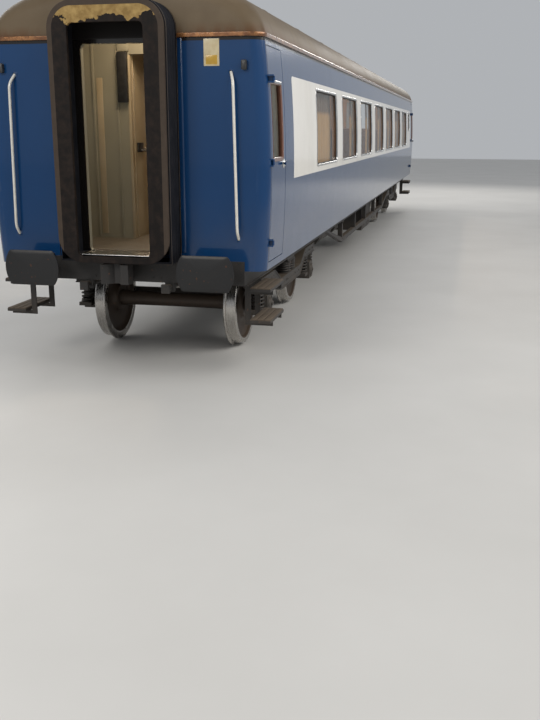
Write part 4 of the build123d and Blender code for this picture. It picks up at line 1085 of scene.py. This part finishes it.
folds, angles, rims, treads = Build(), Build(), Build(), Build()
rim = passage(rim_inset, bellows_foot + rim_inset)
for _ in at_each(two_ends):
    outer, inner = [], []
    for x in (min(i / 12 * fold_pitch, bellows_depth) for i in range(51)):
        ridge = (0.5 - 0.5 * math.cos(2 * math.pi * (x - end_flat) / fold_pitch)) ** 0.6
        valley = 0.024 * (1 - ridge)
        outer.append([(half_length + x, y, z) for y, z in passage(valley, bellows_foot + valley)])
        valley = bellows_thick - 0.02 * ridge
        inner.append([(half_length + x, y, z) for y, z in passage(valley, floor_height)])
    folds.grid(outer)
    folds.grid(inner)
    for x in (half_length + 0.012, half_length + bellows_depth - 0.012):
        rims.grid([[(x + d, y, z) for y, z in rim] for d in (-0.008, 0.008)])
    x0, x1 = half_length - wall, half_length + bellows_depth
    treads.block((x0, -0.38, floor_height - 0.001), (x1, 0.38, floor_height + 0.006), 0.002)
    for y in (0.06 * k - 0.33 for k in range(12)):
        low = (x0 + 0.01, y - 0.004, floor_height + 0.005)
        treads.block(low, (x1 - 0.01, y + 0.004, floor_height + 0.009), 0.001)
for _ in at_each(four_corners):
    low = (half_length, 0.563, floor_height + 0.01)
    angles.block(low, (half_length + 0.006, 0.608, gutter_height - 0.006), 0.002)
    spots = [(half_length + 0.0055, 0.586, rail + 1.372 + 0.22 * k) for k in range(9)]
    angles.bolts(spots, along, 0.006, 0.004)
folds.piece("gangway_bellows_folded", "coach", "bellows_rubber", stands_for="gangway_bellows")
angles.piece("gangway_fixing_angles", "coach", "body_blue", "body_blue_plain", sharp=35)
rims.piece("gangway_rims", "coach", "underframe_black", "rim_grey", sharp=35)
treads.piece("gangway_treads", "coach", "bright_metal", sharp=35)

# %% [markdown]
# ## Vestibules
# Through the gangway the photograph shows a panelled bulkhead with a pale strip and a dark opening, and a
# door with its lock on the corridor wall. The dark opening is painted shade: a black board. All are flat
# boards with a small chamfer, so a list of their corners is enough. They are given as they would be
# measured: in from the end wall, across from the middle, and up from the rail.

# %% Vestibule fittings
cream, green, black, metal = range(4)
back = vestibule_length - 0.019
face = back - 0.013
lock = ((0, 0.012), (0.02, 0.012), (0.024, 0.02), (0.04, 0.022), (0.046, 0.016), (0.048, 0))
# in from the end wall, across from the middle, up from the rail, finish, and chamfer if it isn't 2 mm
boards = [
    ((face + 0.006, back), (0.618, 0.685), (1.25, 2.87), cream),
    # a black board standing for a dark opening: painted shade
    ((back - 0.051, back), (0.325, 0.435), (2.62, 3.12), black, 0.006),
    ((face, back), (0.312, 0.45), (3.13, 3.2), green),
    ((1.12, 1.8), (0.302, 0.311), (1.23, 3.05), cream),
    ((1.09, 1.125), (0.298, 0.311), (1.21, 3.1), cream),
    ((1.8, 1.835), (0.298, 0.311), (1.21, 3.1), cream),
    ((1.15, 1.3), (0.284, 0.303), (2.11, 2.21), black, 0.003),
]
for y in (0.45, 0.72, 0.98, -0.45, -0.72, -0.98):
    boards.append(((face, back), (y - 0.012, y + 0.012), (1.22, 3.2), green))
for y in (-0.318, 0.318):
    boards.append(((face + 0.004, back + 0.047), (y - 0.014, y + 0.014), (1.202, 3.09), cream))
build = Build()
for _ in at_each(turned_ends):
    for xs, ys, zs, kind, *edge in boards:
        low, high = ((half_length - x, -y, rail + z) for x, y, z in zip(xs, ys, zs))
        build.block(low, high, *(edge or [0.002]), kind)
    build.lathe(lock, (half_length - 1.26, -0.285, rail + 2.13), across, 20, metal)
finishes = "corridor_cream panel_green socket_black bright_metal"
build.piece("vestibule_fittings", "coach", "wood_panel", finishes, sharp=35)

# %% [markdown]
# ## Wheels
# A wheel is turned on a lathe, and so is this one: a dished web, a coned tread and a rounded flange, on an
# axle with raised seats. A Screw modifier would do the same; `lathe` keeps the tread apart, which has its
# own finish. The outlines give (out from the middle of the axle, radius).

# %% Wheelsets
axle_outline = ((0.0, 0.0), (0.0, 0.078), (0.45, 0.08), (0.56, 0.084), (0.6, 0.092), (0.662, 0.092))
back_outline = (
    (0.662, 0.092), (0.662, 0.142), (0.67, 0.152), (0.7, 0.158), (0.722, 0.175), (0.734, 0.22),
    (0.738, 0.29), (0.73, 0.345), (0.706, 0.38), (0.689, 0.39), (0.682, 0.398),
)
tread_outline = (
    (0.682, 0.398), (0.681, 0.41), (0.681, 0.462), (0.683, 0.475), (0.689, 0.483), (0.696, 0.485),
    (0.703, 0.482), (0.708, 0.474), (0.7108, 0.464), (0.714, 0.4585), (0.724, 0.4562), (0.78, 0.4535),
    (0.804, 0.452), (0.812, 0.449), (0.816, 0.443), (0.816, 0.398),
)
front_outline = (
    (0.816, 0.398), (0.814, 0.389), (0.806, 0.384), (0.786, 0.378), (0.772, 0.352), (0.767, 0.3),
    (0.765, 0.23), (0.77, 0.178), (0.785, 0.158), (0.808, 0.15), (0.815, 0.142), (0.816, 0.092),
    (0.818, 0.084), (0.85, 0.084), (0.862, 0.066), (0.98, 0.065), (1.0843, 0.065), (1.0843, 0.0),
)
axle_places = [end * bogie_place + place * wheel_place for end in (-1, 1) for place in (-1, 1)]
for number, x in enumerate(axle_places, 1):
    build = Build()
    for _ in at_each(two_sides):
        for outline in (axle_outline, back_outline, tread_outline, front_outline):
            build.lathe(outline, (x, 0, axle_height), across, 72, int(outline is tread_outline))
    wheelset = f"wheelset_{number}"
    finishes = "wheel_steel tread_steel"
    build.piece(f"{wheelset}_turned", f"wheels_{number}", "wheel_steel", finishes, wheelset, 40)

# %% [markdown]
# ## Springs and axleboxes
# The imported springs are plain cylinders, so coils stand for them. A Screw modifier would wind them evenly
# from end to end, but the first and last half turn of a real one lie flat on their seats, so a tube follows
# a helix that is worked out. Each axlebox gets a bolted cover and guides.

# %% Springs and axleboxes
wing_top, frame_foot = axle_height - 0.02, rail + 0.672
frame_top_low, bolster_foot = rail + 0.632, rail + 0.77
box_y, frame_y = 1.095, 1.0745
cover_outline = (
    (0, 0.098), (0.006, 0.098), (0.009, 0.094), (0.009, 0.07), (0.02, 0.062), (0.024, 0.05), (0.024, 0),
)


def spring(build, x, y, low, high, seat, plate, sides, outer, wire, coils):
    """A coil spring between two seats, which are plates of a thickness, a radius and a number of sides."""
    points, steps, radius = [], int(coils * 18), outer - wire
    start, height = low + seat + wire, high - low - 2 * (seat + wire)
    for t in (i / steps for i in range(steps + 1)):
        climb, a = min(1, max(0, (t * coils - 0.5) / (coils - 1))), 2 * math.pi * coils * t
        points.append((x + math.cos(a) * radius, y + math.sin(a) * radius, start + height * climb))
    build.tube(points, wire, 8, "<>")
    for z in (low, high - seat):
        build.lathe(((0, 0), (0, plate), (seat, plate), (seat, 0)), (x, y, z), upright, sides)


# thickness, radius and sides of the seats, radius of the coil and of its wire, and number of coils
wing_shape = (0.012, 0.08, 28, 0.077, 0.013, 5.5)
bolster_shape = (0.01, 0.098, 32, 0.094, 0.015, 4.0)
wing_reaches = [hand * (wheel_place + d) for hand in (-1, 1) for d in (-0.205, 0.205)]
frame_bolts = [(x, rail + 0.732) for x in (-1.55, -1.29, 1.29, 1.55)]
frame_bolts += [(x, rail + 0.572) for x in (-0.5, -0.25, 0.25, 0.5)]
for end, end_name in end_names.items():
    coils, covers, bogie = Build(), Build(), f"bogie_{end_name}"
    for y in (1, -1):
        for reach in wing_reaches:
            spring(coils, end * bogie_place + reach, y, wing_top, frame_foot, *wing_shape)
        for reach in (-0.14, 0.14):
            spring(coils, end * bogie_place + reach, y, frame_top_low, bolster_foot, *bolster_shape)
    for _ in at_each(((end, 1), (end, -1))):
        for x in (bogie_place - wheel_place, bogie_place + wheel_place):
            covers.lathe(cover_outline, (x, box_y, axle_height), across, 36)
            ring = circle(Vector((x, box_y + 0.008, axle_height)), along, upright, 0.083, 6)
            covers.bolts(ring, across, 0.009, 0.008)
            covers.bolts([(x, box_y + 0.024, axle_height)], across, 0.012, 0.01)
            for low, high in ((-0.126, -0.116), (0.116, 0.126)):
                corner = (x + high, 1.07, frame_foot + 0.02)
                covers.block((x + low, 0.93, axle_height - 0.1), corner, 0.003)
        covers.bolts([(bogie_place + x, frame_y, z) for x, z in frame_bolts], across, 0.011, 0.008)
    coils.piece(f"coil_springs_{end_name}", bogie, "spring_steel", stands_for=f"bogie_springs_{end_name}")
    covers.piece(f"axlebox_covers_{end_name}", bogie, "axlebox_iron", sharp=35)

# %% [markdown]
# ## Underfloor
# The solebars and the bogie frames are rolled channels, so a lip runs along each edge, with rivets between.
# A bump could fake the rivets, but seen along the side they need a real outline. The lips follow the
# frame's outline, with its bends rounded as a rolled edge would be.

# %% Lips and rivets of the bogie frames
low_edge = (
    (-1.64, rail + 0.672), (-0.95, rail + 0.672), (-0.6, rail + 0.492),
    (0.6, rail + 0.492), (0.95, rail + 0.672), (1.64, rail + 0.672),
)
high_edge = tuple((x, z + (0.14 if abs(x) < 0.7 else 0.12)) for x, z in low_edge)
lip_thick, frame_lip_y, sole_lip_y = 0.014, 1.081, 1.186


def lip(build, path, inner, outer):
    """A strip along a path of (x, z), between two distances from the middle of the coach."""
    section = (inner, 0), (outer, 0), (outer, lip_thick), (inner, lip_thick)
    build.grid([[(x, y, z + h) for y, h in section] for x, z in path], caps="<>")


for end, end_name in end_names.items():
    build = Build()
    for _ in at_each(((end, 1), (end, -1))):
        for edge, shift in ((low_edge, 0.0), (high_edge, -lip_thick)):
            path = bent([(bogie_place + x, 0, z + shift) for x, z in edge], 0.035, 4)
            lip(build, [(p.x, p.z) for p in path], frame_y, frame_lip_y)
        drops = [(x, min(1.0, max(0.0, (0.95 - abs(x)) / 0.35))) for x in np.linspace(-1.58, 1.58, 28)]
        rivets = [(x, 0.732 - 0.17 * drop) for x, drop in drops]
        for x, z in rivets + [(0.09 * k, 0.825) for k in range(-2, 3)]:
            build.rivet((bogie_place + x, frame_y, rail + z), across)
        for z in (rail + 0.772, rail + 0.864):
            high = (bogie_place + 0.21, 1.083, z + lip_thick)
            build.block((bogie_place - 0.21, frame_y, z), high, 0.002)
    build.piece(f"bogie_lips_{end_name}", f"bogie_{end_name}", "underframe_black", sharp=35)

# %% Lips and rivets of the solebars
build, sole_y, sole_high = Build(), 1.1795, rail + 1.14
for _ in at_each(two_sides):
    for z in (solebar_low, sole_high - lip_thick):
        lip(build, [(x * (half_length - 0.09), z) for x in (-1, 0, 1)], sole_y, sole_lip_y)
    for x in np.linspace(-9.6, 9.6, 76):
        build.rivet((x, sole_y, sole_high - 0.035), across)
    for x in (-8.9, -5.0, -3.4, -1.7, 0, 1.7, 3.4, 5.0, 8.9):
        for a, z in ((a, z) for a in (-0.035, 0.035) for z in (0.06, 0.1, 0.14)):
            build.rivet((x + a, sole_y, solebar_low + z), across, 0.011)
    for x in (-3.3, -1.65, 0, 1.65, 3.3):
        places = [(x + a, sole_y, rail + z) for a in (-0.018, 0.018) for z in (0.6, 0.86)]
        build.bolts(places, across, 0.009, 0.007)
build.piece("solebar_lips", "coach", "underframe_black", sharp=35)

# %% [markdown]
# The equipment boxes have hinged doors with a turned catch, and those with two doors have louvres, which
# are small folded hoods of sheet. Each box is laid out from its own length and number of doors, so that
# one loop makes them all.

# %% Equipment boxes
build, treads = Build(), Build()
box_face = 1.085
catch = ((0, 0.024), (0.004, 0.024), (0.006, 0.02), (0.012, 0.01), (0.013, 0))
knuckle = ((-0.03, 0.0), (-0.03, 0.007), (0.03, 0.007), (0.03, 0.0))
hood = ((0, 0.004, 0), (0.004, 0.013, 0.004), (0, 0.005, 0.022))
# middle, side, length, width, height, doors
boxes = ((-2.55, 1, 1.5, 0.62, 0.52, 3), (0.85, -1, 1.5, 0.62, 0.52, 2), (0.85, 1, 1.2, 0.5, 0.4, 2))
for middle, side, length, width, height, doors in boxes:
    Build.corner = (1, side)
    foot, top = hang_top - height + 0.035, hang_top - 0.035
    leaf = (length - 0.06) / doors
    for x0 in (middle - length / 2 + 0.03 + leaf * k for k in range(doors)):
        high = (x0 + leaf - 0.008, box_face + 0.006, top)
        build.block((x0 + 0.008, box_face - 0.001, foot), high, 0.003)
        for x in (x0 + leaf * 0.2, x0 + leaf * 0.8):
            high = (x + 0.03, box_face + 0.009, top + 0.012)
            build.block((x - 0.03, box_face - 0.001, top - 0.05), high, 0.0015)
            build.lathe(knuckle, (x, box_face + 0.009, top + 0.01), along, 10)
            places = [(x + a, box_face + 0.0085, top - 0.035) for a in (-0.018, 0.018)]
            build.bolts(places, across, 0.005, 0.004)
        x = x0 + leaf / 2
        build.lathe(catch, (x, box_face + 0.005, foot + 0.05), across, 20)
        high = (x + 0.004, box_face + 0.015, foot + 0.07)
        build.block((x - 0.004, box_face + 0.008, foot + 0.03), high, 0.001)
        for z in (foot + 0.12 + 0.032 * step for step in range(5 if doors == 2 else 0)):
            halves = [(leaf * 0.28 - a, box_face + proud, z + h) for a, proud, h in hood]
            build.grid([[(x - half, y, z), (x + half, y, z)] for half, y, z in halves], closed=False)
    for end in (-1, 1):
        for z in (hang_top - height + 0.05, hang_top - 0.05):
            for y in (box_face - 0.05, box_face - width + 0.05):
                build.rivet((middle + end * length / 2, y, z), (end, 0, 0), 0.01)
Build.corner = (1, 1)
print(len(boxes), "boxes with", sum(box[-1] for box in boxes), "doors")

# %% [markdown]
# A reservoir is rolled from plate and closed by domed ends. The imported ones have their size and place, and
# get straps with their bolts, the rim and plug of each end, and a drain cock below.

# %% Reservoirs
tank_y, tank_z = -0.56, rail + 0.66
strap = ((-0.025, 0.2295), (-0.025, 0.2345), (0.025, 0.2345), (0.025, 0.2295))
domed_end = ((0.0, 0.224), (0.006, 0.2285), (0.01, 0.222), (0.008, 0.2), (0.016, 0.149))
drain = ((0, 0.018), (0.02, 0.018), (0.022, 0.012), (0.034, 0.012), (0.034, 0))
for middle in (-0.85, -2.55):
    for x in (middle - 0.42, middle + 0.42):
        build.lathe(strap, (x, tank_y, tank_z), along, 48)
        for y in (tank_y - 0.155, tank_y + 0.155):
            build.block((x - 0.03, y - 0.02, rail + 0.83), (x + 0.03, y + 0.02, rail + 0.85), 0.003)
            build.bolts([(x, y, rail + 0.85)], upright, 0.01, 0.014)
    for end in (-1, 1):
        build.lathe(domed_end, (middle + end * 0.624, tank_y, tank_z), (end, 0, 0), 48)
        build.bolts([(middle + end * 0.6495, tank_y, tank_z)], (end, 0, 0), 0.02, 0.016)
    build.lathe(drain, (middle, tank_y, rail + 0.431), (0, 0, -1), 16)
print("reservoirs strapped at", round(tank_z, 3), "m")

# %% [markdown]
# The footsteps are planks on iron brackets, held down by screws. The ends carry bolts in the headstock, a
# collar round each pipe and a pin in the coupler.

# %% Ends of the underframe and footsteps
pin = ((0, 0.02), (0.0, 0.028), (0.008, 0.028), (0.014, 0.02), (0.016, 0))
collar = ((-0.012, 0.03), (-0.012, 0.036), (0.012, 0.036), (0.012, 0.03))
screw = ((0, 0.007), (0.001, 0.006), (0.002, 0.0))
# the steps hang under the middle of the doors
step_x = half_length - 0.4418
for _ in at_each(two_ends):
    build.lathe(pin, (half_length + 0.245, -0.09, buffer_height + 0.06), upright, 20)
for _ in at_each(four_corners):
    spots = [(half_length, y, rail + z) for y in (0.26, 0.34, 1.02, 1.12) for z in (0.95, 1.12)]
    build.bolts(spots, along, 0.01, 0.008)
    build.lathe(collar, (half_length + 0.075, 0.42, rail + 0.865), along, 24)
    for top in (rail + 0.55, rail + 0.86):
        for y in (1.198, 1.266, 1.334):
            treads.block((step_x - 0.306, y, top - 0.001), (step_x + 0.306, y + 0.062, top + 0.008), 0.003)
            for x in (step_x - 0.2, step_x + 0.2):
                treads.lathe(screw, (x, y + 0.031, top + 0.0075), upright, 8, 1)
build.piece("underfloor_fittings", "coach", "underframe_black", sharp=35)
treads.piece("footstep_treads", "coach", "underframe_black", "step_timber spring_steel", sharp=35)

# %% [markdown]
# ## Buffers
# A turned guide bolted to the headstock and a plunger with a wide head, whose face bulges a little and is
# cut flat above and below. The head could be a cylinder cut by a boolean; here it is a stack of rings whose
# points are held between two heights, which keeps the faces clean.

# %% Buffers
guide_outline = (
    (0.022, 0.104), (0.03, 0.1), (0.05, 0.094), (0.135, 0.092),
    (0.137, 0.099), (0.148, 0.099), (0.15, 0.095), (0.15, 0.072),
)
plunger_outline = ((0.14, 0.069), (0.262, 0.069), (0.266, 0.08), (0.271, 0.11))
head_radius, head_half_height, foot_half, foot_thick = 0.278, 0.168, 0.109, 0.023
# distance out from the headstock and share of the full size
head_rings = (
    (0.2705, 0.3), (0.2705, 0.97), (0.274, 1.0), (0.283, 1.0), (0.2868, 0.97),
    (0.291, 0.8), (0.2945, 0.6), (0.2975, 0.4), (0.2995, 0.2), (0.3, 0.0),
)
build, root = Build(), Vector((half_length, 0.87, buffer_height))
head = circle(Vector(), across, upright, head_radius, 64)
head = [Vector((0, p.y, max(-head_half_height, min(head_half_height, p.z)))) for p in head]
for _ in at_each(four_corners):
    low = root - Vector((0, foot_half, foot_half))
    build.block(low, root + Vector((foot_thick, foot_half, foot_half)), 0.004)
    corners = [root + Vector((foot_thick, a, b)) for a in (-0.085, 0.085) for b in (-0.085, 0.085)]
    build.bolts(corners, along, 0.011, 0.009)
    build.lathe(guide_outline, root, along, 40)
    build.lathe(plunger_outline, root, along, 40)
    build.grid([[root + along * reach + p * share for p in head] for reach, share in head_rings])
build.piece("buffers_turned", "coach", "spring_steel", stands_for="buffers", sharp=35)

# %% [markdown]
# ## Seats
# A cushion is a cloth cover over springs. A bevelled block would look like a board, so each starts as a
# plain block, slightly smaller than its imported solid, and is blown up by Blender's cloth pressure, with
# every move capped so that it stays inside. One squab and one back of each width are simulated and then
# copied to all the seats.

# %% Cushion blown up as cloth
# the size of a quad before it is rounded, and how many frames the pressure acts
cell, most_frames = 0.08, 20


def padded_block(name, length, width, thick, push):
    """Points and faces of a block in a grid of quads, blown up by at most a push."""
    sizes = Vector((length, width, thick))
    shape = bmesh.new()
    bmesh.ops.create_cube(shape, size=1.0)
    for vertex in shape.verts:
        inset = (0.7 * push, 0.7 * push, 1.5 * push)
        vertex.co = [vertex.co[i] * (sizes[i] - inset[i]) for i in range(3)]
    for axis, size in enumerate(sizes):
        level = [e for e in shape.edges if abs((e.verts[0].co - e.verts[1].co).normalized()[axis]) > 0.9]
        cuts = max(2, round(size / cell)) - 1
        bmesh.ops.subdivide_edges(shape, edges=level, cuts=cuts, use_grid_fill=True)
    mesh = bpy.data.meshes.new(name)
    shape.to_mesh(mesh)
    shape.free()
    pad = bpy.data.objects.new(name, mesh)
    scene.collection.objects.link(pad)
    cloth = pad.modifiers.new("cloth", "CLOTH")
    cloth.settings.use_pressure, cloth.settings.uniform_pressure_force = True, 4.0
    cloth.settings.effector_weights.gravity, cloth.settings.quality = 0.0, 5
    for step in range(1, most_frames + 1):
        scene.frame_set(step)
    evaluated = pad.evaluated_get(bpy.context.evaluated_depsgraph_get())
    moves = [blown.co - rest.co for blown, rest in zip(evaluated.data.vertices, mesh.vertices)]
    pad.modifiers.remove(cloth)
    scene.frame_set(1)
    for vertex, move in zip(mesh.vertices, moves):
        vertex.co += move * min(1.0, push / max(move.length, 1e-9))
    for vertex in mesh.vertices:
        vertex.co = [max(-sizes[i] / 2, min(sizes[i] / 2, vertex.co[i])) for i in range(3)]
    rounding = pad.modifiers.new("round", "SUBSURF")
    rounding.levels = rounding.render_levels = 1
    done = bpy.data.meshes.new_from_object(pad.evaluated_get(bpy.context.evaluated_depsgraph_get()))
    bpy.data.objects.remove(pad)
    print(name, [round(size, 3) for size in sizes], "blown up by at most", push, "m")
    return [v.co.copy() for v in done.vertices], [tuple(p.vertices) for p in done.polygons]


# %% Seats
seat_bottom, seat_long = floor_height + 0.29, 0.52
seat_wall = side_y(floor_height + 0.43, wall) - 0.012
squab_thick, back_high, back_thick = 0.138, 0.755, 0.116
# how far the middle of a squab is out from the plane behind the seat and up, and how far its front rises
squab_out, squab_up, squab_rise = 0.32, 0.07, 0.012
# how far the foot of a back is out and up, how far the back leans, and the height it covers
back_out, back_up, back_lean, back_rise = 0.12, 0.1425, 0.06, 0.757
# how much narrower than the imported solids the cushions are, and how much shorter the squabs
slack = 0.004
fabric = Build()
for side, width in ((1, 0.6), (-1, 1.16)):
    squab, squab_faces = padded_block(f"squab_{side}", seat_long - slack, width - slack, squab_thick, 0.014)
    back, back_faces = padded_block(f"back_{side}", back_thick, width - slack, back_high, 0.012)
    y = side * (seat_wall - width / 2)
    for x in window_places:
        for facing in (1, -1):
            back_x = x - facing * (window_pitch / 2 - 0.008)
            points = []
            for p in squab:
                z = seat_bottom + squab_up + p.z + squab_rise * (p.x / seat_long + 0.5)
                points.append((back_x + facing * (squab_out + p.x), y + p.y, z))
            fabric.add(points, squab_faces)
            points = []
            for p in back:
                up = p.z / back_high + 0.5
                z = seat_bottom + back_up + up * back_rise
                points.append((back_x + facing * (back_out - back_lean * up + p.x), y + p.y, z))
            fabric.add(points, back_faces)
cushions = fabric.piece("seat_cushions_padded", "coach", "seat_fabric", stands_for="seat_cushions")

# %% [markdown]
# ## Finish
# A pale floor under the wheels takes the shadow.

# %% Floor
floor_mesh, reach = bpy.data.meshes.new("studio_floor"), 60.0
corners = [(-reach, -reach, 0), (reach, -reach, 0), (reach, reach, 0), (-reach, reach, 0)]
floor_mesh.from_pydata(corners, [], [(0, 1, 2, 3)])
floor_mesh.materials.append(materials["studio_floor"])
studio_floor = bpy.data.objects.new("studio_floor", floor_mesh)
scene.collection.objects.link(studio_floor)
studio_floor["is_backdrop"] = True
print("floor", 2 * reach, "m square")

# %% Size boxes of the model and of the scene
boxes = [[list(corner) for corner in box] for box in (cad_box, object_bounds())]
print("boxes", boxes)
